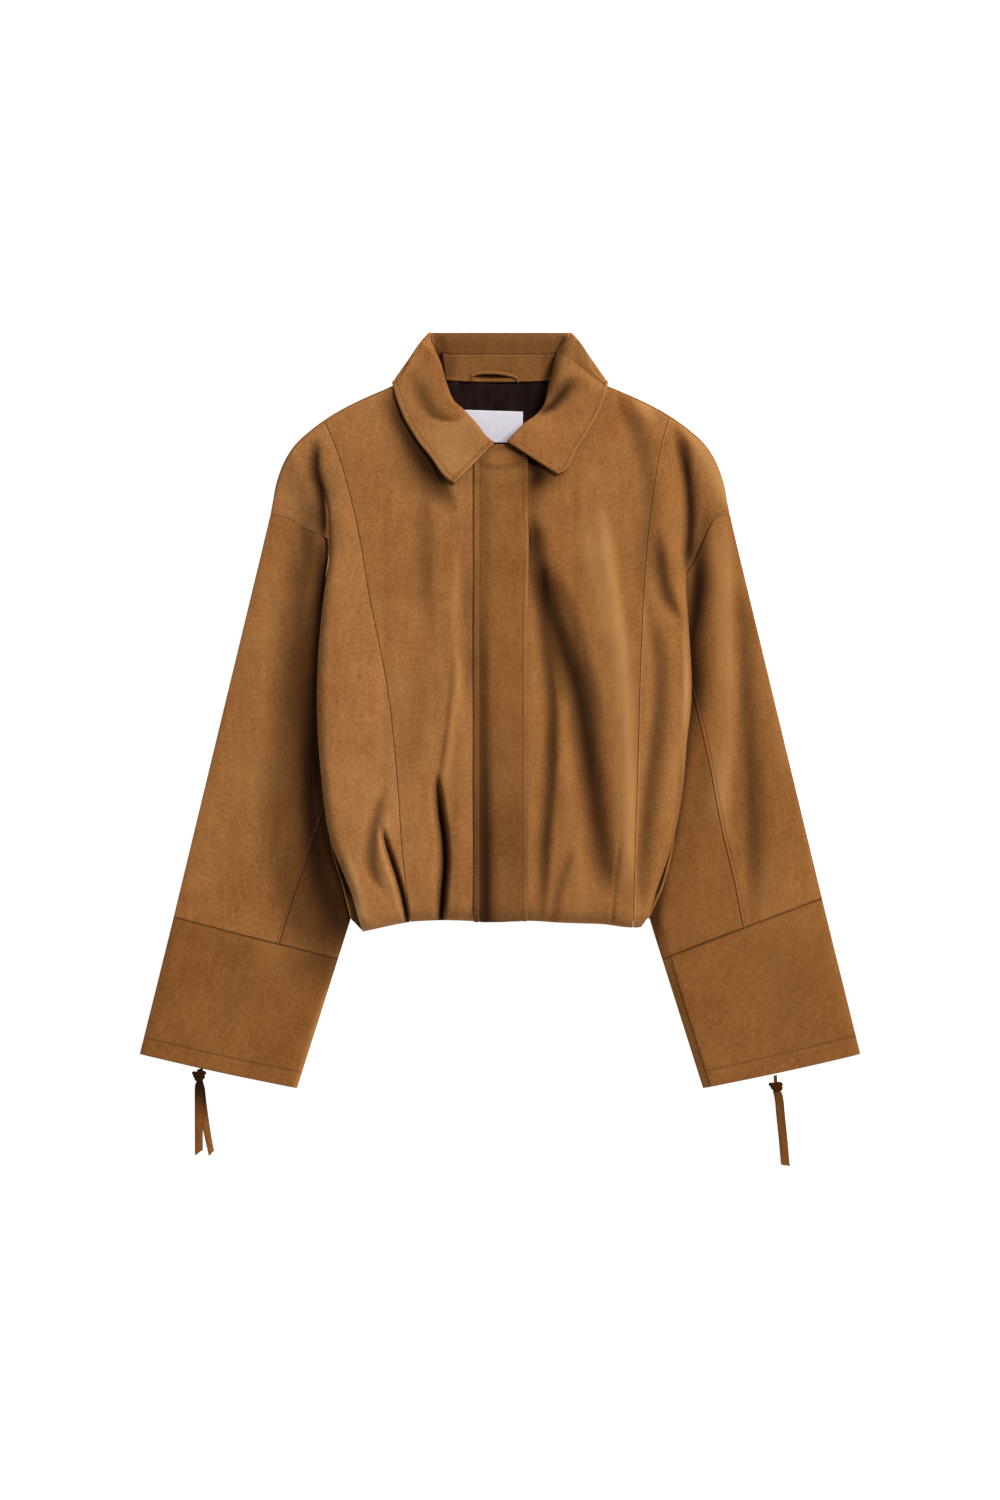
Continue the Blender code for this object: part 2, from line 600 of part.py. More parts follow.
def make_stand(material):
    """The stand: a band inside the back of the neck, from the neck seam up to the collar's seam."""

    def surface(u, v):
        x = STAND_HALF * (2 * u - 1)
        foot = STAND_FOOT + 4.5 * np.abs(2 * u - 1) ** 3
        low = np.stack([0.93 * x, foot, 0 * x + STAND_FOOT_Z], axis=-1)
        high = np.stack([x, BACK_SEAM_Y - SEAM - 0.1 + 0 * x, 0 * x + COLLAR_TOP], axis=-1)
        return low + (high - low) * v[..., None]

    def loop(u, v):
        """The hanging loop, an arch of narrow strip that stands a little off the stand."""
        y = STAND_FOOT + 1.9 + LOOP_RISE * np.sin(np.pi * u) ** 0.6 + LOOP_WIDTH * (v - 0.5)
        lean = (y - STAND_FOOT) / (BACK_SEAM_Y - STAND_FOOT) * (COLLAR_TOP - STAND_FOOT_Z)
        z = STAND_FOOT_Z + lean + 0.5 + SUEDE + 2.5 * np.sin(np.pi * u)
        return np.stack([LOOP_START + LOOP_LENGTH * u, y, z], axis=-1)

    sheet("collar_stand", surface, 12, 2, STAND_WALL, material)
    sheet("hang_loop", loop, 14, 1, SUEDE, material)


# Laces, as (across, up, height) of the middle of each, from the cuff to the free end
LACE_WIDTH = 8.0
KNOTS = {"right": (-301.0, -366.5), "left": (275.5, -377.5)}
LACES = {
    "tie_right_neck": ((-298.5, -359.5, 3.0), (-299.5, -361.0, 2.6), (-300.0, -362.2, 2.6)),
    "tie_right_long": ((-300.5, -372.0, 2.6), (-300.5, -400, 1.8), (-301.0, -425, 1.8), (-301.0, -444, 1.8)),
    "tie_right_short": ((-299.5, -372.0, 5.2), (-296.5, -400, 4.0), (-292.5, -425, 3.8), (-289.5, -443, 3.7)),
    "tie_left_neck": ((275.0, -365.5, 3.0), (275.2, -369.0, 2.6), (275.4, -372.6, 2.6)),
    "tie_left_long": ((276.0, -383.5, 2.6), (279, -405, 1.8), (282, -430, 1.8), (284.5, -456, 1.8)),
}


def make_ties(material):
    """Flat suede laces out of the cuffs, each with one knot, and free ends on the surface."""
    for name, route in LACES.items():
        course = line(route)

        def surface(u, v, course=course):
            place = course(1 - v)
            return place + np.stack([LACE_WIDTH * (u - 0.5), 0 * u, 0 * u], axis=-1)

        rows = 3 if name.endswith("neck") else 12
        sheet(name, surface, 2, rows, LACE, material)
    for word, (x, y) in KNOTS.items():
        bm = bmesh.new()
        bmesh.ops.create_uvsphere(bm, u_segments=12, v_segments=8, radius=0.5)
        for vert in bm.verts:
            a, b, c = vert.co
            vert.co = [c_ * MM for c_ in (x + 13 * a, y + 8 * b + 0.8 * a, 3.4 + 6 * c)]
        piece("tie_%s_knot" % word, bm, 0, material)


for old in list(bpy.data.objects):
    bpy.data.objects.remove(old, do_unlink=True)
collection = bpy.data.collections.new("Suede jacket")
bpy.context.scene.collection.children.link(collection)

body = suede("suede", (158, 106, 59))
dark = suede("suede_dark", (138, 90, 52))
make_back(body)
make_lining(suede("lining", (40, 26, 24), 0.5), suede("label", (235, 232, 240), 0.6))
make_fronts(body)
make_placket(dark)
make_sleeves(body)
make_collar(body)
make_stand(dark)
make_ties(dark)
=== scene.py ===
"""A cropped suede jacket laid flat, front up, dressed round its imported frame.

X runs across the jacket, Y up it and Z away from the table. Lengths are in millimetres until a
mesh is written. Sides are the wearer's, so the right side lies at -X.
"""

from collections import namedtuple

import bpy
import numpy as np
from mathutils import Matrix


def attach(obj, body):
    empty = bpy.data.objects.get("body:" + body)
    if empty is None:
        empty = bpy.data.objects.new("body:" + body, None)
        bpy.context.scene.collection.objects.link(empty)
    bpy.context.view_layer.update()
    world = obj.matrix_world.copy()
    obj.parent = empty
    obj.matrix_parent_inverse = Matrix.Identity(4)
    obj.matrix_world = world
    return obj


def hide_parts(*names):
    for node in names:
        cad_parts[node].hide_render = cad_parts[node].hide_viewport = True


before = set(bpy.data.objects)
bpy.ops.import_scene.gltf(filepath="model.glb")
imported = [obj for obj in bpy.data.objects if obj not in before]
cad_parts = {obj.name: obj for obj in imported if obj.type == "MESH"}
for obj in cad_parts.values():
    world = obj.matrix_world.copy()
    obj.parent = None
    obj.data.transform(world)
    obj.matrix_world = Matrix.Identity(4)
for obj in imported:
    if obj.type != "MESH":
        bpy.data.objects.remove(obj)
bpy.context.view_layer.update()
MM = 0.001

# ---------------------------------------------------------------- table, lights and camera
# The jacket lies on a white table that is lit from below, as for a cut-out, and is seen from
# straight above through a long lens. One soft key light stands past its upper right corner.
VIEW_LENGTH = 1.5                 # metres of table from top to bottom of the view
VIEW_CENTRE = (-0.0001, -0.0401)
LENS, SENSOR = 100.0, 36.0
KEY_TURN = (0.0, 44.0, 40.0)      # degrees: how far the key leans from overhead, and towards where
KEY_STRENGTH, KEY_SOFTNESS = 3.5, 20.0
KEY_TINT = (1.0, 0.97, 0.93)
AMBIENT, AMBIENT_TINT = 0.32, (1.0, 0.99, 0.975, 1)
TABLE_SIZE, TABLE_DROP = 14.0, 0.0004
TABLE_GREY, TABLE_DULLNESS, TABLE_GLOW = (0.45, 0.45, 0.45, 1), 0.9, 0.92

scene = bpy.context.scene
scene.view_settings.view_transform = "Standard"
world = bpy.data.worlds.new("studio")
scene.world = world
world.use_nodes = True
sky = world.node_tree.nodes["Background"]
sky.inputs["Color"].default_value = AMBIENT_TINT
sky.inputs["Strength"].default_value = AMBIENT

camera = bpy.data.objects.new("camera", bpy.data.cameras.new("camera"))
camera.data.lens, camera.data.sensor_width = LENS, SENSOR
camera.location = (*VIEW_CENTRE, VIEW_LENGTH * LENS / SENSOR)
scene.collection.objects.link(camera)
scene.camera = camera

bpy.ops.object.select_all(action="DESELECT")
bpy.ops.object.light_add(type="SUN", rotation=np.radians(KEY_TURN))
key = bpy.context.object
key.data.energy, key.data.angle = KEY_STRENGTH, np.radians(KEY_SOFTNESS)
key.data.color = KEY_TINT

bpy.ops.mesh.primitive_plane_add(size=TABLE_SIZE, location=(0, 0, -TABLE_DROP))
table = bpy.context.object
table.name = "table"
glow = bpy.data.materials.new("lit_table")
glow.use_nodes = True
shader = glow.node_tree.nodes["Principled BSDF"]
shader.inputs["Base Color"].default_value = TABLE_GREY
shader.inputs["Roughness"].default_value = TABLE_DULLNESS
shader.inputs["Specular IOR Level"].default_value = 0.0
shader.inputs["Emission Color"].default_value = (1, 1, 1, 1)
shader.inputs["Emission Strength"].default_value = TABLE_GLOW
table.data.materials.append(glow)


# ---------------------------------------------------------------- laces
# Flat suede laces, 8 mm wide and cut on a slant, come out of the cuffs. Each is tied in an
# overhand knot just outside the mouth. The right one has two tails, the left one has one.
def smooth(rows):
    """A smooth curve through rows of (place, value, ...), as a function of the place."""
    table_ = np.array(sorted(rows, key=lambda row: row[0]), float)
    place, values = table_[:, 0], table_[:, 1:]
    slopes = np.gradient(values, place, axis=0) if len(place) > 2 else None

    def at(where):
        where = np.clip(np.asarray(where, float), place[0], place[-1])
        k = np.clip(np.searchsorted(place, where, side="right") - 1, 0, len(place) - 2)
        step = place[k + 1] - place[k]
        t = ((where - place[k]) / step)[..., None]
        low, high = values[k], values[k + 1]
        if slopes is None:
            found = low + (high - low) * t
        else:
            rise, fall = slopes[k] * step[..., None], slopes[k + 1] * step[..., None]
            found = (
                low * (2 * t**3 - 3 * t**2 + 1) + rise * (t**3 - 2 * t**2 + t)
                + high * (3 * t**2 - 2 * t**3) + fall * (t**3 - t**2)
            )
        return found[..., 0] if found.shape[-1] == 1 else found

    return at


def line(points):
    """A smooth line through points, as a function that runs from 0 at its start to 1 at its end."""
    points = np.array(points, float)
    marks = np.concatenate([[0], np.cumsum(np.linalg.norm(np.diff(points, axis=0), axis=1))])
    return smooth([(mark, *point) for mark, point in zip(marks / marks[-1], points)])


def ease(value):
    """A smooth step: 0 up to 0, and 1 from 1."""
    value = np.clip(value, 0, 1)
    return value * value * (3 - 2 * value)


def paint(red, green, blue):
    """A colour for a shader, from sRGB values between 0 and 255."""
    return (*[((c / 255 + 0.055) / 1.055) ** 2.4 for c in (red, green, blue)], 1.0)


class Shade:
    """A value or colour in a material's nodes. Sums and products of values add Math nodes."""

    def __init__(self, tree, socket=None):
        self.tree, self.socket = tree, socket

    def node(self, kind, settings=(), sockets=(), output=0):
        """Adds a node, makes its settings, then fills its sockets with values or links."""
        made = self.tree.nodes.new("ShaderNode" + kind)
        for setting, value in dict(settings).items():
            setattr(made, setting, value)
        for socket, value in dict(sockets).items():
            if isinstance(value, Shade):
                self.tree.links.new(value.socket, made.inputs[socket])
            else:
                made.inputs[socket].default_value = value
        return Shade(self.tree, made.outputs[output])

    def math(self, operation, first, second):
        return self.node("Math", {"operation": operation}, {0: first, 1: second})

    def __add__(self, other):
        return self.math("ADD", self, other)

    def __radd__(self, other):
        return self.math("ADD", other, self)

    def __sub__(self, other):
        return self.math("SUBTRACT", self, other)

    def __rsub__(self, other):
        return self.math("SUBTRACT", other, self)

    def __mul__(self, other):
        return self.math("MULTIPLY", self, other)

    def __rmul__(self, other):
        return self.math("MULTIPLY", other, self)

    def clamped(self):
        return self.node("Clamp", {}, {"Value": self})

    def mix(self, share_, none, all_):
        """A colour between two, by a share from 0 to 1."""
        return self.node("Mix", {"data_type": "RGBA"}, {0: share_, 6: none, 7: all_}, 2)

    def into(self, socket):
        self.tree.links.new(self.socket, socket)


SUEDE_DEEP, SUEDE_LIGHT = (130, 79, 36), (175, 124, 74)     # nap brushed one way, and the other
SUEDE_PAINTED_SHADE, SUEDE_PAINTED_HIGHLIGHT = (34, 13, 2), (214, 163, 106)     # painted shade for folds, and painted highlight for ridges


def noise(place, scale, detail=2.0, roughness=0.5):
    return place.node(
        "TexNoise", {}, {"Vector": place, "Scale": scale, "Detail": detail, "Roughness": roughness}
    )


def toned(colour, tone=1.0):
    """A colour made deeper: darker suede is also redder, as light goes through more of it."""
    return (*[c * tone**power for c, power in zip(paint(*colour), (1, 1.25, 1.7))], 1.0)


def new_finish(name):
    """A material, its shader, and the place on the piece, from which its nodes start."""
    material = bpy.data.materials.new(name)
    material.use_nodes = True
    tree = material.node_tree
    return material, tree.nodes["Principled BSDF"], Shade(tree).node("TexCoord", {}, {}, "Object")


def suede(name, tone=1.0, seed=0.0, nap_turn=0.0):
    """Napped suede: cloudy where the nap was brushed, with a fine grain, and dull with a sheen.

    A piece's painted shading, held on its points, darkens it as painted shade, up to 1 deep in a
    fold. Below 0, on ridges, it is a painted highlight.
    """
    material, shader, place = new_finish(name)
    place = place.node("Mapping", {}, {
        "Vector": place, "Location": (seed, 0.37 * seed, 0.0), "Rotation": (0.0, 0.0, nap_turn),
    })
    strokes = place.node("Mapping", {}, {"Vector": place, "Scale": (1.0, 0.22, 1.0)})
    cloud = noise(place, 9.0, 2.0)
    mottle = noise(place, 38.0, 3.0, 0.6)
    stroke = noise(strokes, 150.0, 3.0, 0.6)
    grain = noise(place, 380.0, 4.0, 0.7)
    lay = 0.5 + 0.75 * (cloud - 0.5) + 0.5 * (mottle - 0.5) + 0.5 * (stroke - 0.5)
    lay = lay + 1.5 * (grain - 0.5)
    colour = place.mix(lay.clamped(), toned(SUEDE_DEEP, tone), toned(SUEDE_LIGHT, tone))
    # Painted shade, then painted highlight, from the shading that the piece's points carry
    painted_shading = place.node("Attribute", {"attribute_name": "painted_shading"}, {}, "Fac")
    colour = place.mix(painted_shading.clamped(), colour, toned(SUEDE_PAINTED_SHADE, tone))
    colour = place.mix((-1.0 * painted_shading).clamped(), colour, toned(SUEDE_PAINTED_HIGHLIGHT, tone))
    colour.into(shader.inputs["Base Color"])
    (0.82 + 0.16 * mottle).into(shader.inputs["Roughness"])
    fibre = noise(place, 1900.0, 2.0, 0.7)
    relief = place.node("Bump", {}, {
        "Height": 0.7 * grain + 0.3 * fibre + 0.4 * stroke, "Strength": 0.4, "Distance": 0.0007,
    })
    relief.into(shader.inputs["Normal"])
    shader.inputs["Specular IOR Level"].default_value = 0.04
    shader.inputs["Sheen Weight"].default_value = 0.05
    shader.inputs["Sheen Roughness"].default_value = 0.6
    shader.inputs["Sheen Tint"].default_value = (1.0, 0.72, 0.45, 1.0)
    return material


def cloth(name, points, wall, finish, underside=False, painted_shading=0.0):
    """A sheet of cloth: a grid laid on rows of points, with a wall on its inner side."""
    rows, columns = points.shape[:2]
    bpy.ops.object.select_all(action="DESELECT")
    bpy.ops.mesh.primitive_grid_add(
        x_subdivisions=columns - 1, y_subdivisions=rows - 1, size=1, calc_uvs=True
    )
    made = bpy.context.object
    made.name = made.data.name = name
    flat = np.empty(len(made.data.vertices) * 3, np.float32)
    made.data.vertices.foreach_get("co", flat)
    flat = flat.reshape(-1, 3) + 0.5
    column = np.rint(flat[:, 0] * (columns - 1)).astype(int)
    row = np.rint(flat[:, 1] * (rows - 1)).astype(int)
    made.data.vertices.foreach_set("co", (points[row, column] * MM).astype(np.float32).ravel())
    # Each point's painted shading: painted shade, or below 0 a painted highlight
    painted_shading = np.broadcast_to(np.asarray(painted_shading, np.float32), (rows, columns))
    depth = made.data.attributes.new("painted_shading", "FLOAT", "POINT")
    depth.data.foreach_set("value", np.ascontiguousarray(painted_shading[row, column]))
    if underside:
        made.data.flip_normals()
    made.data.update()
    made.data.materials.append(finish)
    wall_ = made.modifiers.new("wall", "SOLIDIFY")
    wall_.thickness, wall_.offset = wall * MM, -1
    bpy.ops.object.modifier_apply(modifier="wall")
    made.data.shade_smooth()
    return made


# Of each turn of a knot: its tilt, its height, its place along the lace, its width and its length.
KNOT_TURNS = (
    (0.0, 3.4, 2.3, 14.0, 4.6), (-0.12, 3.6, -0.8, 12.0, 5.0), (0.10, 3.0, -3.2, 9.0, 4.4),
)
RING_RADIUS, RING_THICKNESS = 0.38, 0.14        # of a turn, before it is stretched to its size
RING_LENGTH, RING_DEPTH = 3.1, 4.6              # how far it is stretched along the lace, and up
RING_WAVE, RING_WAVES = 0.4, 7


def knotted(name, x, y, lean, drift, finish):
    """An overhand knot of flat lace: a turn straight across, and two drawn in under it, slanted."""
    turns = []
    for tilt, height, along_, wide, tall in KNOT_TURNS:
        tilt = tilt + lean
        bpy.ops.object.select_all(action="DESELECT")
        bpy.ops.mesh.primitive_torus_add(
            major_segments=40, minor_segments=12,
            major_radius=RING_RADIUS, minor_radius=RING_THICKNESS,
        )
        turn = bpy.context.object
        co = np.array([v.co for v in turn.data.vertices])
        ring_x, ring_z, along = co[:, 0], co[:, 1], co[:, 2]
        across = ring_x * wide + drift * (KNOT_TURNS[0][2] - along_)
        up = along * tall * RING_LENGTH + RING_WAVE * np.sin(ring_x * RING_WAVES)
        co = np.stack([
            x + across * np.cos(tilt) - up * np.sin(tilt),
            y + along_ + across * np.sin(tilt) + up * np.cos(tilt),
            height + ring_z * RING_DEPTH,
        ], axis=-1)
        turn.data.vertices.foreach_set("co", (co * MM).astype(np.float32).ravel())
        turns.append(turn)
    bpy.ops.object.select_all(action="DESELECT")
    for turn in turns:
        turn.select_set(True)
    bpy.context.view_layer.objects.active = turns[0]
    bpy.ops.object.join()
    made = bpy.context.object
    made.name = made.data.name = name
    bpy.ops.object.mode_set(mode="EDIT")
    bpy.ops.mesh.select_all(action="SELECT")
    bpy.ops.mesh.normals_make_consistent(inside=False)
    bpy.ops.object.mode_set(mode="OBJECT")
    made.data.materials.append(finish)
    made.data.shade_smooth()
    return made


LACE_WIDTH, LACE_WALL = 8.0, 1.5
LACE_SLANT = 4.5                  # how much further down one corner of a cut end is
LACE_ROWS, LACE_COLUMNS = 90, 13
# Shares of a lace's length: where its end begins to slant, how soon the short one is its full
# width, and where the long one is that again past its knot, with the stretch that it widens over.
SLANT_FROM, TAIL_SPREAD, KNOT_PAST, KNOT_SPREAD = 0.8, 0.14, 0.19, 0.05
KNOTS = {                         # place, lean and drift
    "right": (-300.8, -365.2, 0.0, 0.0), "left": (275.4, -376.4, 0.0, 0.3),
}
# A lace's slant is which corner of its end is cut, and by how much of the full slant. Widened is
# how far it is spread, and neck how much of its width is left where it comes out of its cuff. The
# short one has no neck of its own.
Lace = namedtuple("Lace", "nodes tone slant widened neck route")
LACES = {
    "right_long": Lace(("tie_right_neck", "tie_right_long"), 0.60, 1, 1.0, 0.7, (
        (-299.6, -359.0, 3.0), (-300.0, -361.0, 2.6), (-300.2, -362.2, 2.6), (-300.3, -366.5, 3.4),
        (-300.7, -372.0, 4.2), (-301.1, -400, 3.6), (-301.1, -425, 2.6), (-301.0, -445, 2.2),
    )),
    "right_short": Lace(("tie_right_short",), 0.74, 1, 1.0, None, (
        (-299.0, -369.0, 2.6), (-299.0, -374.0, 2.2), (-296.4, -400, 1.8), (-292.3, -425, 1.8),
        (-288.0, -445.6, 1.8),
    )),
    "left_long": Lace(("tie_left_neck", "tie_left_long"), 0.54, -0.6, 1.1, 0.4, (
        (275.0, -365.5, 3.0), (275.2, -369.0, 2.6), (275.4, -372.6, 2.6), (275.9, -378.0, 2.8),
        (278.1, -385.5, 2.6), (280.4, -405, 1.8), (283.0, -430, 1.8), (285.3, -456.6, 1.8),
    )),
}


def narrowed(t, neck):
    """A long lace is drawn together as far as its knot. The short one widens out of the knot."""
    if neck is None:
        drawn_in = 0.5 * ease((TAIL_SPREAD - t) / TAIL_SPREAD)
        return (1 - drawn_in) * (1 - 0.2 * ease((t - 0.4) / 0.6))
    return 1 - (1 - neck) * ease((KNOT_PAST - t) / KNOT_SPREAD)


lace_knots = {}
for k, (word, place_) in enumerate(KNOTS.items()):
    # A knot is toned almost black: painted shade for its tight turns
    finish = suede("suede_knot_" + word, 0.07 + 0.06 * k, 5.0 + 2 * k)
    lace_knots[word] = knotted("lace_knot_" + word, *place_, finish)
for name, lace in LACES.items():
    word = name.split("_")[0]
    course = line(lace.route)
    run = np.linspace(0, 1, LACE_ROWS)
    length = float(np.linalg.norm(np.diff(course(run), axis=0), axis=1).sum())
    grid_share, grid_run = np.meshgrid(np.linspace(-0.5, 0.5, LACE_COLUMNS), run[::-1])
    corner = 0.5 + np.sign(lace.slant) * grid_share
    slanted = ease((grid_run - SLANT_FROM) / 0.2)
    slant = LACE_SLANT * abs(lace.slant) * corner * slanted / length
    width = LACE_WIDTH * lace.widened * narrowed(grid_run, lace.neck)
    curl = 0.5 * np.cos(2 * np.pi * grid_share) * np.sin(9 * grid_run + 1) * ease(grid_run / 0.3)
    edge_droop = 0.5 * (2 * grid_share) ** 6
    points = course(grid_run - slant) + np.stack([
        width * grid_share, 0.5 * np.sin(6 * grid_share), 0.25 + curl * 0.5 - edge_droop,
    ], axis=-1)
    painted_lace_shade = 0.35 * (1 - grid_run)             # painted shade, deeper where it is tied, and along its edges
    if word == "right":
        painted_lace_shade = 0.96 * (1 - ease((grid_run - 0.2) / 0.44))
    painted_lace_shade = 1 - (1 - painted_lace_shade) * (1 - 0.35 * np.abs(2 * grid_share) ** 4)
    piece = cloth(
        "lace_" + name, points, LACE_WALL, suede("suede_lace_" + name, lace.tone, 3.0), painted_shading=painted_lace_shade
    )
    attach(piece, "root")
    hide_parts(*lace.nodes)
    path = course(np.linspace(0, 1, 24)) * MM
for word, knot in lace_knots.items():
    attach(knot, "root")
    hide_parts("tie_%s_knot" % word)


# ---------------------------------------------------------------- back
# One piece of suede from the shoulders to the hem. It lies under everything but the sleeves'
# hidden halves and the collar, which it is draped over. Only its edge shows beside the hem.
SUEDE, COLLAR_WALL, LINING, SEAM = 1.2, 2.0, 1.0, 0.3
EDGE = 2 * SUEDE + 2 * SEAM       # top of a front layer where it meets the back layer
SLEEVE_LOFT = 3.2
OVER_SLEEVE = EDGE + SLEEVE_LOFT + 1.1
OVER_COLLAR = COLLAR_WALL + 1.3
NECK_POINT = (73.0, 339.0)
SHOULDER_LINE = (
    NECK_POINT, (105, 322.8), (117.5, 317.6), (140.0, 308.0), (168.7, 292.7), (189.7, 277.7),
    (204.9, 263.6), (214.5, 249.1), (220.8, 234.3), (225.0, 219.4), (227.4, 204.5), (229.0, 196.5),
)
SHOULDER_POINT = SHOULDER_LINE[-1]
CUFF_CORNER = (359.0, -343.0)
sleeve_outer = smooth([SHOULDER_POINT[::-1], CUFF_CORNER[::-1]])
sleeve_inner = smooth(
    [(-377.5, 203.5), (-295.0, 177.0), (-215.5, 151.5), (-100, 120), (0, 101), (100, 90), (160, 86)]
)

# What differs between the two sides. In a table of (height, out) each row is a level of the jacket.
Side = namedtuple("Side", "sign edge princess armhole tuck crease sleeve_seam cuff_seam placket")
RIGHT = Side(
    sign=-1,
    edge=smooth([
        (340, 196), (245, 183), (200, 171), (165, 169.5), (110, 176.3), (50, 181.6), (-22, 181.9),
        (-70, 178.0), (-134, 168.0), (-173, 152.3), (-188, 147.0), (-207, 143.2), (-214, 139.0),
        (-222, 135.4),
    ]),
    princess=smooth([
        (290, 176.5), (273.5, 169), (197.5, 145.5), (109.5, 129.5), (29.5, 113.5), (-65.5, 102.5),
        (-139.5, 97.5), (-215, 89.5),
    ]),
    armhole=[SHOULDER_POINT, (207, 190), (196, 182), (184, 177), (168, 168), (130, 153), (86, 134)],
    tuck=172,
    crease=smooth([(300, 140), (245, 70), (205, 24), (165, 12), (150, 11), (130, 11), (-220, 11)]),
    sleeve_seam=smooth([
        (170, 140), (100, 138), (0, 150), (-106.5, 177.5), (-172.5, 201.5), (-234, 221.0),
    ]),
    cuff_seam=smooth([(160, -248.3), (240, -229), (328, -206.5)]),
    placket=-26.5,
)
LEFT = Side(
    sign=1,
    edge=smooth([
        (340, 205), (245, 195), (200, 190), (165, 184.5), (110, 186.5), (69.5, 189.0),
        (29.5, 191.2), (9.5, 191.0), (-30.5, 186.5), (-78.5, 182.5), (-118.5, 175.5),
        (-150.5, 166.5), (-178.5, 156.5), (-205, 148.5), (-218, 140.5),
    ]),
    princess=smooth([
        (293, 170), (283.5, 166.5), (229.5, 154.5), (165.5, 146.5), (69.5, 140.5), (-70, 136.5),
        (-215, 132.5),
    ]),
    armhole=[SHOULDER_POINT, (211, 187.5), (201, 167), (189, 143), (172, 128), (130, 112), (87, 98)],
    tuck=187,
    crease=smooth([(300, 140), (245, 60), (205, 26), (165, 12), (150, 11), (130, 11), (-220, 11)]),
    sleeve_seam=smooth([
        (140, 160), (70, 176.5), (5.5, 194.5), (-50.5, 207.5), (-120.5, 221.0), (-172.5, 233.5),
        (-219, 242.5),
    ]),
    cuff_seam=smooth([(160, -249.0), (174.5, -243), (240.5, -218.5), (326, -188)]),
    placket=27.5,
)
SIDES = ((RIGHT, "right"), (LEFT, "left"))
# The back begins to climb this far before a sleeve's edge, and climbs over this run. Out at the
# shoulder it is clear of the sleeve, on the table again. At the neck it is over the folded collar.
CLIMB_START, CLIMB_RUN = 48, 28
CLEAR_OUT, CLEAR_OUT_RUN, CLEAR_UP, CLEAR_UP_RUN = 182, 22, {"right": 160, "left": 120}, 24
COLLAR_UP, COLLAR_UP_RUN, COLLAR_OUT, COLLAR_OUT_RUN = 250, 50, 132, 18


def by_side(x, right, left):
    return np.where(x < 0, right, left)


def armhole_height(x):
    """Height of the armhole's line at each place."""
    return by_side(x, *(smooth(side.armhole)(np.abs(x)) for side in (RIGHT, LEFT)))


def back_height(x, y):
    """Underside of the back: on the table, and over the sleeves and the collar that lie under it."""
    out = np.abs(x)
    into_sleeve = np.minimum(out - sleeve_inner(y), armhole_height(x) - y)
    climb = ease((into_sleeve + CLIMB_START) / CLIMB_RUN)
    clear = ease((out - CLEAR_OUT) / CLEAR_OUT_RUN)
    clear = clear * ease((y - by_side(x, **CLEAR_UP)) / CLEAR_UP_RUN)
    collar = ease((y - COLLAR_UP) / COLLAR_UP_RUN) * ease((COLLAR_OUT - out) / COLLAR_OUT_RUN)
    return OVER_SLEEVE * climb * (1 - clear) + OVER_COLLAR * collar


def on(height, x, y, lift=0.0):
    """Points on a height, moved out along its normal by the lift."""
    step = 0.5
    rise_x = (height(x + step, y) - height(x - step, y)) / (2 * step)
    rise_y = (height(x, y + step) - height(x, y - step)) / (2 * step)
    normal = np.stack([-rise_x, -rise_y, np.ones_like(rise_x)], axis=-1)
    normal /= np.linalg.norm(normal, axis=-1, keepdims=True)
    return np.stack([x, y, height(x, y)], axis=-1) + normal * np.asarray(lift)[..., None]


def patch(bottom, top, left, right):
    """The flat pattern between four lines; left and right run up, bottom and top run towards +X."""

    def at(u, v):
        u, v = u[..., None], v[..., None]
        corner = [line_(np.array(float(end))) for line_ in (bottom, top) for end in (0, 1)]
        across = (1 - v) * bottom(u[..., 0]) + v * top(u[..., 0])
        along = (1 - u) * left(v[..., 0]) + u * right(v[..., 0])
        low = (1 - u) * corner[0] + u * corner[1]
        high = (1 - u) * corner[2] + u * corner[3]
        place = across + along - (1 - v) * low - v * high
        return place[..., 0], place[..., 1]

    return at


def flip(line_):
    return lambda t: line_(1 - t)


def mirrored(points, sign):
    return [(sign * x, y) for x, y in points]


# How far the first columns of a sheet's mesh are from its edge: plain, sewn and topstitched.
PLAIN = np.array([0.0, 2.5])
SEWN = np.array([0, 0.35, 0.7, 1.1, 1.6, 2.3, 3.2])
STITCHED = np.array([0, 0.35, 0.7, 1.1, 1.7, 2.5, 3.2, 3.8, 4.2, 4.6, 5.0, 5.4, 5.8, 6.2, 6.8, 8.0])


def ladder(length, low, high, step):
    """Shares of a length, closer together near its ends. One row of them for each length given."""
    length = np.atleast_1d(np.asarray(length, float))[:, None]
    count = max(3, int(np.mean(length) / step))
    start, end = low[-1] / length, 1 - high[-1] / length
    between = start + (end - start) * np.linspace(0, 1, count)[1:-1]
    return np.concatenate([low / length, between, 1 - high[::-1] / length], axis=1)


def cut_grid(pattern, step, left=PLAIN, right=PLAIN, bottom=PLAIN, top=PLAIN):
    """Rows of (x, y) over a pattern, closer together at its edges."""

    def spot(u, v):
        return np.stack(pattern(np.asarray(u, float), np.asarray(v, float)), axis=-1)

    trial = np.linspace(0, 1, 60)
    height_ = np.linalg.norm(np.diff(spot(0 * trial + 0.5, trial), axis=0), axis=1).sum()
    up = ladder(height_, bottom, top, step)[0]
    width_ = np.linalg.norm(spot(0 * up + 1.0, up) - spot(0 * up, up), axis=1)
    across = ladder(np.maximum(width_, 2.2 * (left[-1] + right[-1])), left, right, step)
    return pattern(across, np.repeat(up[:, None], across.shape[1], axis=1))


def normals(points):
    across, up = np.gradient(points, axis=1), np.gradient(points, axis=0)
    normal = np.cross(across, up)
    return normal / np.maximum(np.linalg.norm(normal, axis=-1, keepdims=True), 1e-9)


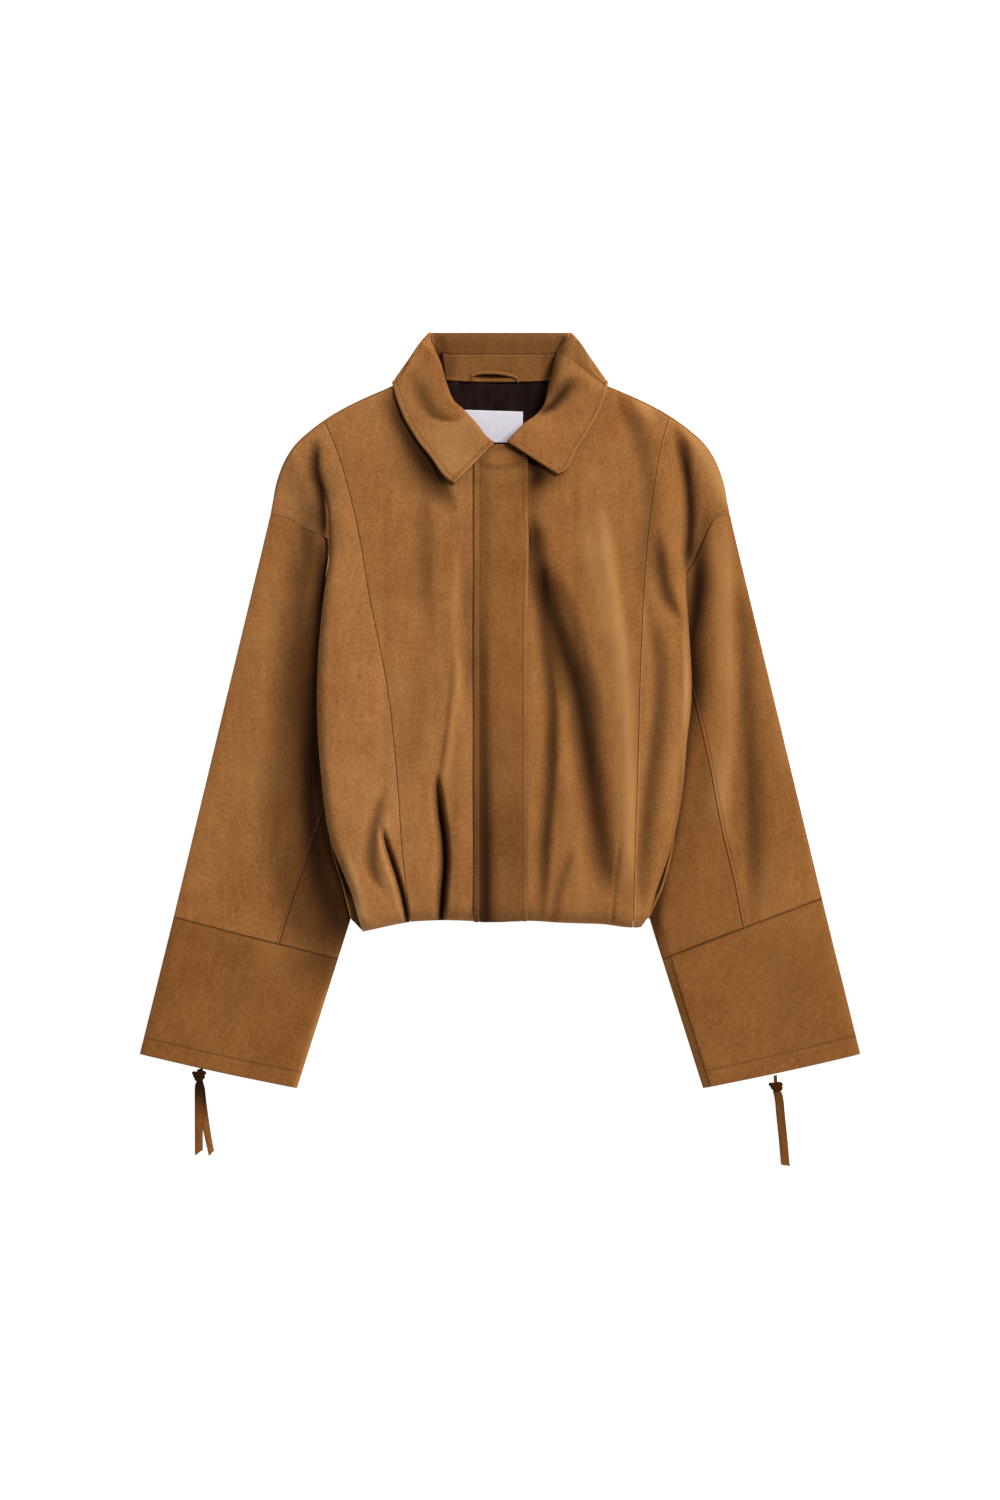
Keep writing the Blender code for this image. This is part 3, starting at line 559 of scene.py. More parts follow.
def from_edge(points, edge):
    """How far each point of a sheet is from its left, right, bottom or top edge, along it."""
    axis = 1 if edge in ("left", "right") else 0
    steps = np.linalg.norm(np.diff(points, axis=axis), axis=-1)
    start = np.zeros(steps.shape[:axis] + (1,) + steps.shape[axis + 1:])
    run_ = np.concatenate([start, np.cumsum(steps, axis=axis)], axis=axis)
    if edge in ("right", "top"):
        run_ = run_.take([-1], axis=axis) - run_
    return run_


def roll(distance_, radius):
    """The rise of a rolled edge: 0 at the edge, 1 from one radius in."""
    return np.sqrt(1 - (1 - np.clip(distance_ / radius, 0, 1)) ** 2)


def bell(value, middle_, width_):
    """1 at the middle, and falling off to 0 on both sides of it."""
    return np.exp(-((value - middle_) / width_) ** 2)


def turned(from_it, drop=1.3, radius=1.6):
    """How an edge that is sewn and turned under sinks into its seam."""
    return -drop * (1 - roll(from_it, radius))


def topstitched(from_it, inset=5.0, drop=1.3, radius=1.6):
    """A turned edge with a row of stitches: the cloth puffs up before it and sinks under it."""
    groove = -0.55 * bell(from_it, inset, 0.75)
    puff = 0.35 * bell(from_it, 0.5 * inset, 0.32 * inset)
    return turned(from_it, drop, radius) + groove + puff


def painted_seam_shade(points, edge, deep=0.16, wide=0.9):
    """Painted shade along an edge of a sheet, where it is sewn into a seam."""
    return deep * bell(from_edge(points, edge), 0, wide)


def both(one, other):
    """Two painted shades in one place."""
    return 1 - (1 - one) * (1 - other)


def pressed(points, **edges):
    """A sheet with each named edge shaped by its own function of the distance from that edge."""
    total = sum(shape(from_edge(points, edge)) for edge, shape in edges.items())
    return points + normals(points) * total[..., None]


LEAST_FILLED = 0.32               # share of its flat size that a sheet's cloth fills, at least


def cut_size(points):
    """Width, length and area of the cloth in a sheet, in metres."""
    across = np.linalg.norm(np.diff(points, axis=1), axis=-1).sum(axis=1)
    along = np.linalg.norm(np.diff(points, axis=0), axis=-1).sum(axis=0)
    normal = np.cross(points[1:, 1:] - points[:-1, :-1], points[:-1, 1:] - points[1:, :-1])
    area_ = float(np.linalg.norm(normal, axis=-1).sum() / 2)
    width_, length_ = float(across.max()), float(along.max())
    return width_ * MM, length_ * MM, max(area_, LEAST_FILLED * width_ * length_) * MM * MM


def sewn(piece, points, nodes, rests_on=()):
    """A sheet rides on the jacket's one body, and the frame nodes that it stands for are hidden."""
    width_, length_, area_ = cut_size(points)
    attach(piece, "root")
    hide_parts(*nodes)


def armhole_points(side, shift=0.0):
    """The stretch of the armhole that isn't folded under the body, from the shoulder inwards."""
    outs = np.linspace(SHOULDER_POINT[0], side.tuck, 12)
    return [(float(out), float(up_) + shift) for out, up_ in zip(outs, smooth(side.armhole)(outs))]


BACK_PAST = 2.0                   # how far the back runs on past the armhole of the fronts
BELOW_ARMHOLE = 14                # from the tuck down to where a side's edge is followed again
BACK_SIDE_FOOT = -208             # where the side ends and the hem begins
UPPER_PROUD = [(200, -1.5), (0, -1.5), (-90, -1.5), (-110, -1), (-140, 2.5)]
PROUD = {                         # how far the back shows beside the fronts, by height
    "right": smooth(UPPER_PROUD + [(-175, 6.2), (-209, 6.8)]),
    "left": smooth(UPPER_PROUD + [(-175, 5.5), (-195, 5.0), (-209, 1.5)]),
}
back_sides = []
for side, word in SIDES:
    armhole = armhole_points(side, BACK_PAST)
    levels = np.linspace(armhole[-1][1] - BELOW_ARMHOLE, BACK_SIDE_FOOT, 12)
    down = [(float(side.edge(y) + PROUD[word](y)), float(y)) for y in levels]
    back_sides.append(line(mirrored(armhole + down, side.sign)))
back_neck = [(-52, 327), (0, 320), (52, 327)]
# At the shoulders its edge stays a little inside the fronts' edge, out of sight.
inside_shoulder = [(out - 0.9, up_ - 1.3) for out, up_ in SHOULDER_LINE]
back_top = line(mirrored(inside_shoulder[::-1], -1) + back_neck + inside_shoulder)
back_corners = [side(np.array(1.0)) for side in back_sides]
back_foot = line([
    back_corners[0], (-143.5, -214.0), (-137.5, -219.8), (-126, -213.5), (-60, -207), (0, -208),
    (60, -208), (130, -211), back_corners[1],
])
back_pattern = patch(back_foot, back_top, flip(back_sides[0]), flip(back_sides[1]))
x, y = cut_grid(back_pattern, 5.0, left=SEWN, right=SEWN)
points = np.stack([x, y, back_height(x, y)], axis=-1)
tucked = np.minimum(from_edge(points, "left"), from_edge(points, "right"))
# Painted shade: dark where it lies between the fronts and the table, and less so near the open hem.
shade = 0.95 * ease((tucked - 1.5) / 1.0) * ease((-60 - y) / 40)
shade = shade * (1 - 0.45 * ease((-178 - y) / 18))
back = cloth(
    "back_suede", points, SUEDE, suede("suede_back", 0.9, 9.0), underside=True, painted_shading=shade
)
sewn(back, points, ["back_panel"], ["table"])


# ---------------------------------------------------------------- lining and label
# Dark brown satin shows inside the back neck. A white woven label, left blank, is sewn to it.
# Painted shade and painted highlight of the lining's folds
SATIN_SHADED, SATIN_LIT = paint(15, 6, 5), paint(41, 21, 18)
RIBBON_SHADED, RIBBON_WHITE = paint(200, 197, 212), paint(232, 231, 240)


def satin(name):
    """Dark satin with fine threads, and soft folds down it that are bumped and also painted: lighter
    on their crests as painted highlight, darker between them as painted shade.
    """
    material, shader, place = new_finish(name)
    tall = place.node("Mapping", {}, {"Vector": place, "Scale": (1.0, 0.35, 1.0)})
    fold = noise(tall, 70.0, 2.0)
    thread = noise(tall, 2400.0, 1.0)
    colour = place.mix((2.4 * fold - 0.7).clamped(), SATIN_SHADED, SATIN_LIT)
    colour.into(shader.inputs["Base Color"])
    (0.5 + 0.2 * thread).into(shader.inputs["Roughness"])
    shader.inputs["Specular IOR Level"].default_value = 0.05
    relief = place.node("Bump", {}, {
        "Height": fold + 0.08 * thread, "Strength": 0.5, "Distance": 0.002,
    })
    relief.into(shader.inputs["Normal"])
    return material


def woven_label(name):
    """White ribbon: fine ribs across it, and a slightly soft sheen."""
    material, shader, place = new_finish(name)
    rib = place.node("TexWave", {"bands_direction": "Y"}, {
        "Vector": place, "Scale": 420.0, "Distortion": 0.6, "Detail": 1.0,
    }, "Fac")
    soft = noise(place, 160.0, 2.0)
    colour = place.mix((0.35 * rib + 0.6 * soft).clamped(), RIBBON_SHADED, RIBBON_WHITE)
    colour.into(shader.inputs["Base Color"])
    (0.6 + 0.15 * rib).into(shader.inputs["Roughness"])
    relief = place.node("Bump", {}, {"Height": rib, "Strength": 0.25, "Distance": 0.0003})
    relief.into(shader.inputs["Normal"])
    return material


LINING_HALF, LINING_FOOT, LINING_TOP, LINING_AIR = 72.0, 232.0, 332.0, 0.5
u, v = np.meshgrid(np.linspace(-1, 1, 60), np.linspace(0, 1, 44))
x, y = LINING_HALF * u, LINING_FOOT + (LINING_TOP + 2 * u**2 - LINING_FOOT) * v
ripple = 0.5 * np.sin(0.11 * x + 0.6) * np.sin(0.09 * y) + 0.3 * np.sin(0.17 * x - 0.12 * y)
ripple = ripple - 1.6 * ease((y - 322) / 6)                   # drawn down where the stand is sewn on
points = on(back_height, x, y, SUEDE + SEAM + LINING + LINING_AIR + ripple)
lining = cloth("lining_satin", points, LINING, satin("satin_lining"))
sewn(lining, points, ["back_lining"], ["back_suede"])

LABEL_CORNER, LABEL_WIDTH, LABEL_HEIGHT, LABEL_TILT = (-37.5, 268.3), 60.2, 31.2, -0.03
LABEL_WALL, LABEL_AIR = 0.6, 0.8
u, v = np.meshgrid(np.linspace(0, 1, 40), np.linspace(0, 1, 28))
x = LABEL_CORNER[0] + LABEL_WIDTH * u
y = LABEL_CORNER[1] + LABEL_HEIGHT * v + LABEL_TILT * LABEL_WIDTH * u
bow = 0.3 * np.sin(np.pi * u) + 0.15 * np.sin(9 * u) * v
points = on(back_height, x, y, SUEDE + 2 * SEAM + 2 * LINING + LABEL_AIR + bow)
label = cloth("label_ribbon", points, LABEL_WALL, woven_label("ribbon_label"))
sewn(label, points, ["neck_label"], ["lining_satin"])


# ---------------------------------------------------------------- stitches
# Tan thread, eight to ten stitches to the inch. A row of them is modelled straight, one stitch
# repeated, and then laid along its seam, so that each stitch bends with the cloth under it.
STITCH_PITCH, STITCH_LENGTH, THREAD = 3.2, 2.1, 0.75
THREAD_LIFT = 0.05                # how far the middle of a stitch is above its cloth
THREAD_DARK, THREAD_LIGHT = 0.75, 1.2            # how far a twisted thread's tone goes down and up


def thread_finish(name, colour):
    material, shader, place = new_finish(name)
    twist = noise(place, 900.0, 1.0)
    dark, light = (
        (*[share_ * c for c in paint(*colour)[:3]], 1.0) for share_ in (THREAD_DARK, THREAD_LIGHT)
    )
    place.mix(twist, dark, light).into(shader.inputs["Base Color"])
    (0.5 + 0.2 * twist).into(shader.inputs["Roughness"])
    return material


thread_tan = thread_finish("thread_tan", (176, 124, 76))
thread_dark = thread_finish("thread_dark", (112, 66, 32))
thread_deep = thread_finish("thread_deep", (66, 34, 12))


def stitches(name, places, up, finish=thread_tan, pitch=STITCH_PITCH, length=STITCH_LENGTH):
    """A row of stitches along places, which are points close together with their ways up."""
    steps = np.linalg.norm(np.diff(places, axis=0), axis=1)
    marks = np.concatenate([[0], np.cumsum(steps)])
    count = int(marks[-1] / pitch)
    bpy.ops.object.select_all(action="DESELECT")
    bpy.ops.mesh.primitive_uv_sphere_add(segments=6, ring_count=4, radius=0.5)
    row_ = bpy.context.object
    row_.name = row_.data.name = name
    ball = np.array([vert.co for vert in row_.data.vertices])
    ball = ball[:, [2, 0, 1]] * (length, THREAD, THREAD)
    row_.data.vertices.foreach_set("co", ball.astype(np.float32).ravel())
    repeat = row_.modifiers.new("repeat", "ARRAY")
    repeat.count, repeat.use_relative_offset, repeat.use_constant_offset = count, False, True
    repeat.constant_offset_displace = (pitch, 0, 0)
    bpy.ops.object.modifier_apply(modifier="repeat")
    flat = np.array([vert.co for vert in row_.data.vertices])
    run_ = np.clip(flat[:, 0] + 0.5 * (marks[-1] - (count - 1) * pitch), 0, marks[-1])
    found = np.stack([np.interp(run_, marks, places[:, axis]) for axis in range(3)], axis=-1)
    tangent = np.gradient(places, marks, axis=0)
    ahead = np.stack([np.interp(run_, marks, tangent[:, axis]) for axis in range(3)], axis=-1)
    above = np.stack([np.interp(run_, marks, up[:, axis]) for axis in range(3)], axis=-1)
    beside = np.cross(above, ahead)
    beside /= np.linalg.norm(beside, axis=-1, keepdims=True)
    found += beside * flat[:, 1:2] + above * (flat[:, 2:3] + THREAD_LIFT)
    row_.data.vertices.foreach_set("co", (found * MM).astype(np.float32).ravel())
    row_.data.materials.append(finish)
    row_.data.shade_smooth()
    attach(row_, "root")


def beside_edge(points, edge, inset):
    """Points and upward directions along a sheet, at one distance from one of its edges."""
    away, up = from_edge(points, edge), normals(points)
    if edge in ("bottom", "top"):
        points, up, away = points.swapaxes(0, 1), up.swapaxes(0, 1), away.swapaxes(0, 1)
    order = slice(None) if edge in ("left", "bottom") else slice(None, None, -1)
    found = []
    for place_, up_, away_ in zip(points[:, order], up[:, order], away[:, order]):
        found.append([np.interp(inset, away_, column) for column in (*place_.T, *up_.T)])
    found = np.array(found)
    return found[:, :3], found[:, 3:]


# ---------------------------------------------------------------- the fronts' shape
# The fronts are lofted over the back and drawn in at the hem, where their fullness breaks into
# pleats, deep ones and shallow ones. The sleeves and the collar need this height before the
# fronts themselves are made.
# A fold's course is rows of height, across and strength. Depth is below 0 for a trough, and 0 for
# painted shade or painted highlight that has no relief. Left and right are its half widths towards -X
# and +X.
# Shade is how much painted shade it gives or, below 0, how much painted highlight.
Fold = namedtuple("Fold", "course depth left right shade")


def share_of(fold, x, y):
    """How much of a fold there is at each place, from 0 to 1. Where it is weak it is narrow too."""
    across, strength = np.moveaxis(smooth(fold.course)(y), -1, 0)
    strength = np.clip(strength, 0, 1)
    half = np.where(x < across, fold.left, fold.right) * (0.55 + 0.45 * strength)
    return strength * bell(x, across, half)


def folded(folds, x, y):
    """The height that a table of folds adds at each place."""
    return sum(fold.depth * share_of(fold, x, y) for fold in folds)


def painted_fold_shading(folds, x, y, start=0.0):
    """The painted shading that a table of folds gives each place: painted shade up to 1 deep in a
    fold, and below 0 painted highlight on a ridge.
    """
    open_ = 1 - start + 0 * x
    for fold in folds:
        if fold.shade > 0:
            open_ = open_ * (1 - fold.shade * share_of(fold, x, y))
    lit = sum(fold.shade * share_of(fold, x, y) for fold in folds if fold.shade < 0)
    return 1 - open_ + lit * open_


# A roll is how far in from an edge the cloth turns up, a crown how far in its loft still rises.
SHOULDER_ROLL, SHOULDER_CROWN, SIDE_CROWN, HEM_ROLL, HEM_CROWN = 14.0, 75.0, 90.0, 15.0, 70.0
SHARP_SIDE, SHARP_HEM = 0.5, 0.6       # shares of the loft that the turns at the side and hem take
CAP_FROM, CAP_RUN = 150, 25            # the fronts lie on the sleeves' caps from this height up
FOLD_FROM_SIDE = 14                    # how far in from a side a fold has its full depth
SHUT_HALF, OPEN_OVER = 24, 10          # no fold runs nearer the middle, where the placket lies
hem = smooth([
    (-135.5, -221.8), (-119.5, -217.8), (-95.5, -212.6), (-65.5, -210.4), (0, -211.9), (30.5, -210.9),
    (60, -212.7), (78.5, -213.4), (102.5, -214.2), (126.5, -217.0), (144, -217.4),
])
crown = smooth([(345, 14), (300, 16), (260, 18.5), (200, 23), (100, 27), (-50, 29), (-215, 26)])
BODY_FOLDS = (
    # Soft trough on the right breast
    Fold(((219.5, -76, 0.3), (189.5, -74, 0.8), (149.5, -73, 1), (99.5, -70.5, 0.8),
        (49.5, -66.5, 0)), -2.6, 13, 6, 0.38),
    # Wide soft shade below it
    Fold(((69.5, -70, 0), (25, -79, 0.9), (-10, -82, 1), (-50, -87, 0.8), (-85, -90, 0)),
        0, 16, 15, 0.22),
    # Ridge that runs into the deep pleat
    Fold(((179.5, -45, 0), (139.5, -45, 0.9), (99.5, -45.5, 0.9), (69.5, -47.5, 0.6),
        (38.5, -42.8, 0.9), (-12.5, -47.5, 1), (-65.5, -54.5, 0.6), (-90.5, -60, 0)),
        2.2, 8, 4.6, -0.3),
    # Crease along the ridge's foot
    Fold(((74.5, -46, 0), (49.5, -47, 0.3), (29.5, -48.5, 0.45), (-12.5, -52.3, 0.8),
        (-50.5, -57.8, 1), (-68.5, -61, 0.6), (-84.5, -62.5, 0)), -0.5, 3.2, 2.8, 0.48),
    # Shade between that ridge and the placket
    Fold(((149.5, -33.5, 0.2), (109.5, -33.5, 0.9), (69.5, -32.5, 0.6), (39.5, -31.5, 0.9),
        (14.5, -32.5, 0.3), (-70.5, -38, 0.1), (-120.5, -46.5, 0)), -0.8, 7, 10, 0.42),
    # The deep pleat
    Fold(((-62.5, -62.5, 0), (-78.5, -61.5, 0.6), (-102.5, -59, 0.95), (-128.5, -55.5, 1),
        (-152.5, -54.5, 1), (-180.5, -56.6, 1), (-212.5, -58.6, 1), (-250.5, -58.6, 1)),
        -17, 5.0, 3.5, 1),
    # Hem pleat at the right princess seam
    Fold(((-112.5, -118.5, 0), (-128.5, -114, 0.7), (-148.5, -107.5, 0.95), (-170.5, -100.3, 1),
        (-195.5, -94.3, 1), (-250.5, -87.5, 1)), -12, 3.6, 2.2, 0.96),
    # Bowed trough beside it
    Fold(((-75.5, -114.5, 0.1), (-98.5, -121.5, 0.7), (-125.5, -127.5, 1), (-150.5, -129.5, 0.95),
        (-168.5, -125, 0.8), (-183.5, -115.5, 0)), -4.5, 6.5, 6, 0.6),
    # Light edge between them
    Fold(((-105.5, -109.5, 0), (-125.5, -119.5, 0.8), (-150.5, -115.5, 1), (-180.5, -105.5, 0.8),
        (-205.5, -101.5, 0)), 1.8, 5, 5, -0.12),
    # The long diagonal trough
    Fold(((194.5, 26, 0.3), (174.5, 30, 0.85), (149.5, 35.5, 0.8), (127.5, 42, 0.88),
        (89.5, 53, 0.95), (59.5, 64, 0.97), (29.5, 75, 1), (-30.5, 86.5, 1), (-90.5, 94, 0.9),
        (-135.5, 100, 0.8), (-165.5, 104.5, 0.6), (-190.5, 105.5, 0)), -10, 16, 11, 0.94),
    # Wide shade outside its upper half
    Fold(((154.5, 50, 0), (119.5, 62, 0.8), (79.5, 77, 1), (44.5, 87, 1), (9.5, 96, 0.8),
        (-30.5, 103, 0)), 0, 8, 7.5, 0.5),
    # Light band outside that
    Fold(((209.5, 84, 0), (169.5, 88.5, 0.9), (129.5, 96, 1), (89.5, 107, 0.7), (54.5, 112.5, 0)),
        0, 10, 9, -0.2),
    # Second trough, beside it
    Fold(((149.5, 40, 0), (124.5, 42, 0.6), (99.5, 43, 0.6), (69.5, 44.5, 0.7), (37.5, 48.5, 0.85),
        (9.5, 51, 0.87), (-38.5, 50.8, 0.9), (-90.5, 48, 0.85), (-140.5, 44, 0.9),
        (-180.5, 42, 0.6), (-205.5, 40.5, 0.2), (-250.5, 40.5, 0)), -6, 8.5, 5.6, 0.82),
    # Ridge between the two
    Fold(((29.5, 64.5, 0), (-5, 66.5, 0.6), (-50.5, 69, 0.9), (-120.5, 76.5, 0.9),
        (-170.5, 78.5, 0.5), (-205.5, 79, 0.4)), 2.2, 12, 12, -0.26),
    # Short shade that joins their upper ends
    Fold(((84.5, 46, 0), (69.5, 50.5, 0.8), (44.5, 56, 1), (19.5, 61, 0.8), (4.5, 64, 0)),
        0, 4.5, 4.5, 0.4),
    # Short trough above the left hem
    Fold(((-135.5, 74.5, 0.2), (-152.5, 66.5, 0.7), (-180.5, 57.5, 1), (-205.5, 54, 0.8),
        (-230.5, 54.5, 0)), -2.5, 6.5, 4.5, 0.36),
    # Hem pleat on the left
    Fold(((-128.5, 119.5, 0.1), (-140.5, 118, 0.6), (-170.5, 114.5, 0.7), (-205.5, 112, 0.8),
        (-250.5, 111, 1)), -3, 1.8, 1.9, 0.3),
    # Long ridge on the left front
    Fold(((209.5, 97.5, 0), (169.5, 103.5, 0.9), (89.5, 116, 1), (5.5, 124, 0.85), (-88.5, 128, 1),
        (-140.5, 129.5, 1), (-180.5, 130.5, 0.2)), 3.4, 11.5, 7.4, -0.42),
    # Trough between ridge and side
    Fold(((149.5, 131.5, 0.1), (109.5, 143.5, 0.15), (64.5, 154.5, 0.7), (9.5, 157, 0.85),
        (-30.5, 153.5, 1), (-90.5, 146.5, 1), (-150.5, 140.5, 0.75), (-180.5, 140.5, 0.5),
        (-202.5, 144.5, 0)), -5, 7, 10.5, 0.6),
    # Drag line from the underarm
    Fold(((184.5, 157, 0), (169.5, 158, 0.5), (154.5, 159.5, 0.9), (134.5, 162.2, 1),
        (119.5, 165.5, 1), (104.5, 170.5, 0.85), (89.5, 180, 0.35)), -3.5, 10, 5.4, 0.78),
    # Light along the edge of the left side
    Fold(((94.5, 180, 0), (69.5, 181.5, 0.9), (29.5, 184, 1), (-10.5, 182, 1), (-50.5, 178, 0.6),
        (-90.5, 172, 0)), 0.5, 8, 5, -0.4),
    # Trough down from the left shoulder
    Fold(((329.5, 118.5, 0), (309.5, 121.5, 0.6), (279.5, 134, 1), (244.5, 144, 0.85),
        (189.5, 145.5, 0.85), (139.5, 139, 0.5), (99.5, 136.5, 0)), -3.4, 9, 11, 0.42),
    # Light on the shoulder outside it
    Fold(((316, 134, 0), (305, 142, 1), (292, 148, 0.6), (280, 152, 0)), 0, 9, 9, -0.4),
    # Hollow beside the right collar wing
    Fold(((324.5, -101.5, 0), (299.5, -89.5, 0.8), (269.5, -77.5, 0.95), (239.5, -65, 1),
        (217.5, -56, 1), (194.5, -46, 0.2)), -4.5, 22, 7, 0.7),
    # Groove of the right cap
    Fold(((273.5, -183.5, 0), (259.5, -182, 0.75), (237.5, -182.2, 0.95), (217.5, -177.4, 1),
        (194.5, -175, 1), (177.5, -174.8, 0.9), (157.5, -177, 0)), -9, 10.5, 3.4, 1),
    # Groove of the left cap
    Fold(((284.5, 174.5, 0), (263.5, 180.5, 0.75), (237.5, 186.5, 1), (210.5, 189.5, 1),
        (179.5, 190, 0.95), (154.5, 188.5, 0.9), (129.5, 187, 0)), -9, 6.6, 9, 0.98),
    # Shade of the left cap above its armhole
    Fold(((214.5, 207, 0), (195, 206, 0.8), (174.5, 203, 1), (152, 198, 1)), 0, 7, 8, 0.5),
    # Light on the left cap's edge
    Fold(((292, 176, 0), (277.5, 187, 0.8), (255, 205, 1), (235, 216, 1), (214.5, 223.5, 0.8),
        (200, 228, 0)), 0, 10, 7, -0.4),
    # Shade of the right cap, outside its groove
    Fold(((259.5, -210, 0.1), (234.5, -206.5, 1), (204.5, -189, 0.95), (179.5, -187.5, 0.8),
        (159.5, -189.5, 0)), -1.5, 22, 10, 0.38),
    # Shade of the right collar wing, close and dark
    Fold(((334.5, -108, 0), (319.5, -107.5, 0.5), (304.5, -105.5, 0.75), (289.5, -101, 0.9),
        (269.5, -91, 0.95), (244.5, -75.5, 0.9), (229.5, -62.5, 0.75), (218.5, -57.5, 0)),
        0, 11, 26, 0.88),
    # Shade of the right collar wing, low and wide
    Fold(((279.5, -93, 0.1), (259.5, -83, 0.5), (244.5, -76, 0.8), (229.5, -67, 0.8),
        (214.5, -63, 0.3), (200, -60, 0)), 0, 34, 13, 0.6),
    # Shade of the left collar wing
    Fold(((269.5, 14.5, 0), (261.5, 17.5, 0.9), (254.5, 24.5, 1), (244.5, 32, 1), (234.5, 37.5, 1),
        (226.5, 36, 0.9), (214.5, 33, 0.45), (194.5, 32, 0.1), (174.5, 32, 0)), 0, 13.5, 21, 0.98),
    # Roll at the right side of the hem
    Fold(((-140.5, -150.5, 0), (-170.5, -146, 0.9), (-195.5, -140, 0.8), (-220.5, -135.5, 0.55),
        (-235.5, -131.5, 0)), 1.5, 8, 5.5, -0.45),
)


def distance(points, x, y):
    """How far each place is from the line through points."""
    near = line(points)(np.linspace(0, 1, 90))
    out = np.abs(x)
    best = np.full(np.shape(out), np.inf)
    for near_x, near_y in near:
        best = np.minimum(best, (out - near_x) ** 2 + (y - near_y) ** 2)
    return np.sqrt(best)


def front_height(x, y):
    """Top of the fronts: lofted over the back, and rolled down at shoulders, sides and hem."""
    out = np.abs(x)
    edge = by_side(x, RIGHT.edge(y), LEFT.edge(y)) - out
    tight = by_side(x, RIGHT.crease(y), LEFT.crease(y))
    to_shoulder = distance(SHOULDER_LINE, x, y)
    to_hem = y - hem(x)
    crowned = roll(edge, np.maximum(SIDE_CROWN, tight))
    side_ = SHARP_SIDE * roll(edge, tight) + (1 - SHARP_SIDE) * crowned
    foot_ = SHARP_HEM * roll(to_hem, HEM_ROLL) + (1 - SHARP_HEM) * roll(to_hem, HEM_CROWN)
    lofted = side_ * foot_ * roll(to_shoulder, SHOULDER_CROWN)
    cap = SLEEVE_LOFT * roll(to_shoulder, SHOULDER_ROLL) * ease((y - CAP_FROM) / CAP_RUN)
    low = EDGE + back_height(x, y)
    height = low + cap * (1 - lofted) + (crown(y) + EDGE - low) * lofted
    room = ease(edge / FOLD_FROM_SIDE) * roll(to_hem, HEM_ROLL) * roll(to_shoulder, SHOULDER_ROLL)
    room = room * ease((out - SHUT_HALF) / OPEN_OVER)
    return np.maximum(height + folded(BODY_FOLDS, x, y) * room, low)


# ---------------------------------------------------------------- sleeves
# Each sleeve is cut in an upper, a front and a back piece. It lies flat with a little air in
# it, rolled at its edges, and goes under the body along the side. The front seam is topstitched.
SLEEVE_ROLL, SLEEVE_AIR = 12.0, 3.6
SLEEVE_FOLDS = (
    # Shade beside the body, right, strong
    Fold(((189.5, -174.5, 0.4), (154.5, -173.5, 0.75), (129.5, -174.5, 0.85), (69.5, -185, 0.7),
        (9.5, -190, 0.85), (-50.5, -189.8, 1), (-110.5, -187.8, 1), (-150.5, -182, 0.95),
        (-190.5, -173.5, 0.7), (-230.5, -158.5, 0)), -2, 19.5, 20, 1),
    # Shade beside the body, right, low and wide
    Fold(((-100.5, -169, 0), (-150.5, -163.5, 0.6), (-190.5, -154.5, 1), (-220.5, -157.5, 0.95),
        (-238.5, -162, 0.75), (-262.5, -172.5, 0.15)), -1, 52, 39, 0.88),
    # Shade beside the body, right, wide
    Fold(((174.5, -193, 0.6), (129.5, -197, 0.9), (69.5, -202.5, 0.95), (9.5, -209.5, 0.95),
        (-50.5, -217.5, 0.8), (-110.5, -221.5, 0.8), (-170.5, -215, 0.7), (-220.5, -201.5, 0.35),
        (-240.5, -200, 0)), -2.6, 21.5, 33, 0.63),
    # Light on the sleeve's roll into the armhole
    Fold(((194.5, -170.5, 0), (179.5, -177.3, 0.8), (164.5, -182, 1), (149.5, -184.5, 1),
        (129.5, -188, 1), (99.5, -192.5, 0.6), (69.5, -196.5, 0)), 0.8, 4.6, 4.8, -0.58),
    # Shade beside the body, left
    Fold(((169.5, 197.5, 0.4), (134.5, 199.5, 0.9), (99.5, 196, 1), (69.5, 192, 1),
        (29.5, 193.8, 1), (9.5, 193, 0.9), (-10.5, 189.5, 0.5), (-30.5, 186, 0)),
        -2, 12, 10.5, 0.96),
    # Its lower end
    Fold(((14.5, 191, 0), (-10.5, 190, 0.5), (-30.5, 187.5, 0.75), (-60.5, 183, 0.75),
        (-110.5, 175.5, 0.75), (-160.5, 164.5, 0.8), (-200.5, 157, 0.85), (-240.5, 155.5, 0.3)),
        -2, 12, 7, 0.9),
    # Its wider upper end
    Fold(((194.5, 205, 0.2), (174.5, 203, 0.8), (149.5, 200.5, 1), (129.5, 199.5, 1),
        (99.5, 200.5, 0.7), (39.5, 201.5, 0.7), (-10.5, 199, 0.6), (-45.5, 193, 0)), 0, 8, 8, 0.58),
    # Ridge on the left sleeve
    Fold(((194.5, 226.5, 0.1), (164.5, 226, 0.65), (72.5, 227.5, 1), (-32.5, 228, 0.65),
        (-90.5, 220.5, 1), (-140.5, 228.5, 0)), 2.8, 15, 9.5, -0.4),
    # Trough outside it
    Fold(((129.5, 236.5, 0.25), (89.5, 241, 0.6), (9.5, 245.5, 0.9), (-50.5, 249.7, 0.95),
        (-110.5, 252, 1), (-170.5, 252.7, 0.7), (-220.5, 252, 0.1)), -2.6, 10.5, 12, 0.58),
    # Ridge on the right sleeve
    Fold(((149.5, -241.5, 0), (89.5, -237.5, 0.7), (9.5, -243.5, 1), (-90.5, -253.5, 0.7),
        (-170.5, -259.5, 0)), 1.6, 14, 10, -0.02),
    # Trough low on the right sleeve
    Fold(((-90.5, -263.5, 0), (-140.5, -267.5, 0.8), (-195.5, -273.5, 0.6), (-220.5, -275.5, 0)),
        -1, 16, 16, 0.03),
    # Trough low on the left sleeve
    Fold(((-110.5, 290.5, 0), (-160.5, 300.5, 0.8), (-200.5, 306.5, 0.6), (-230.5, 310.5, 0)),
        -1, 16, 16, 0.03),
)
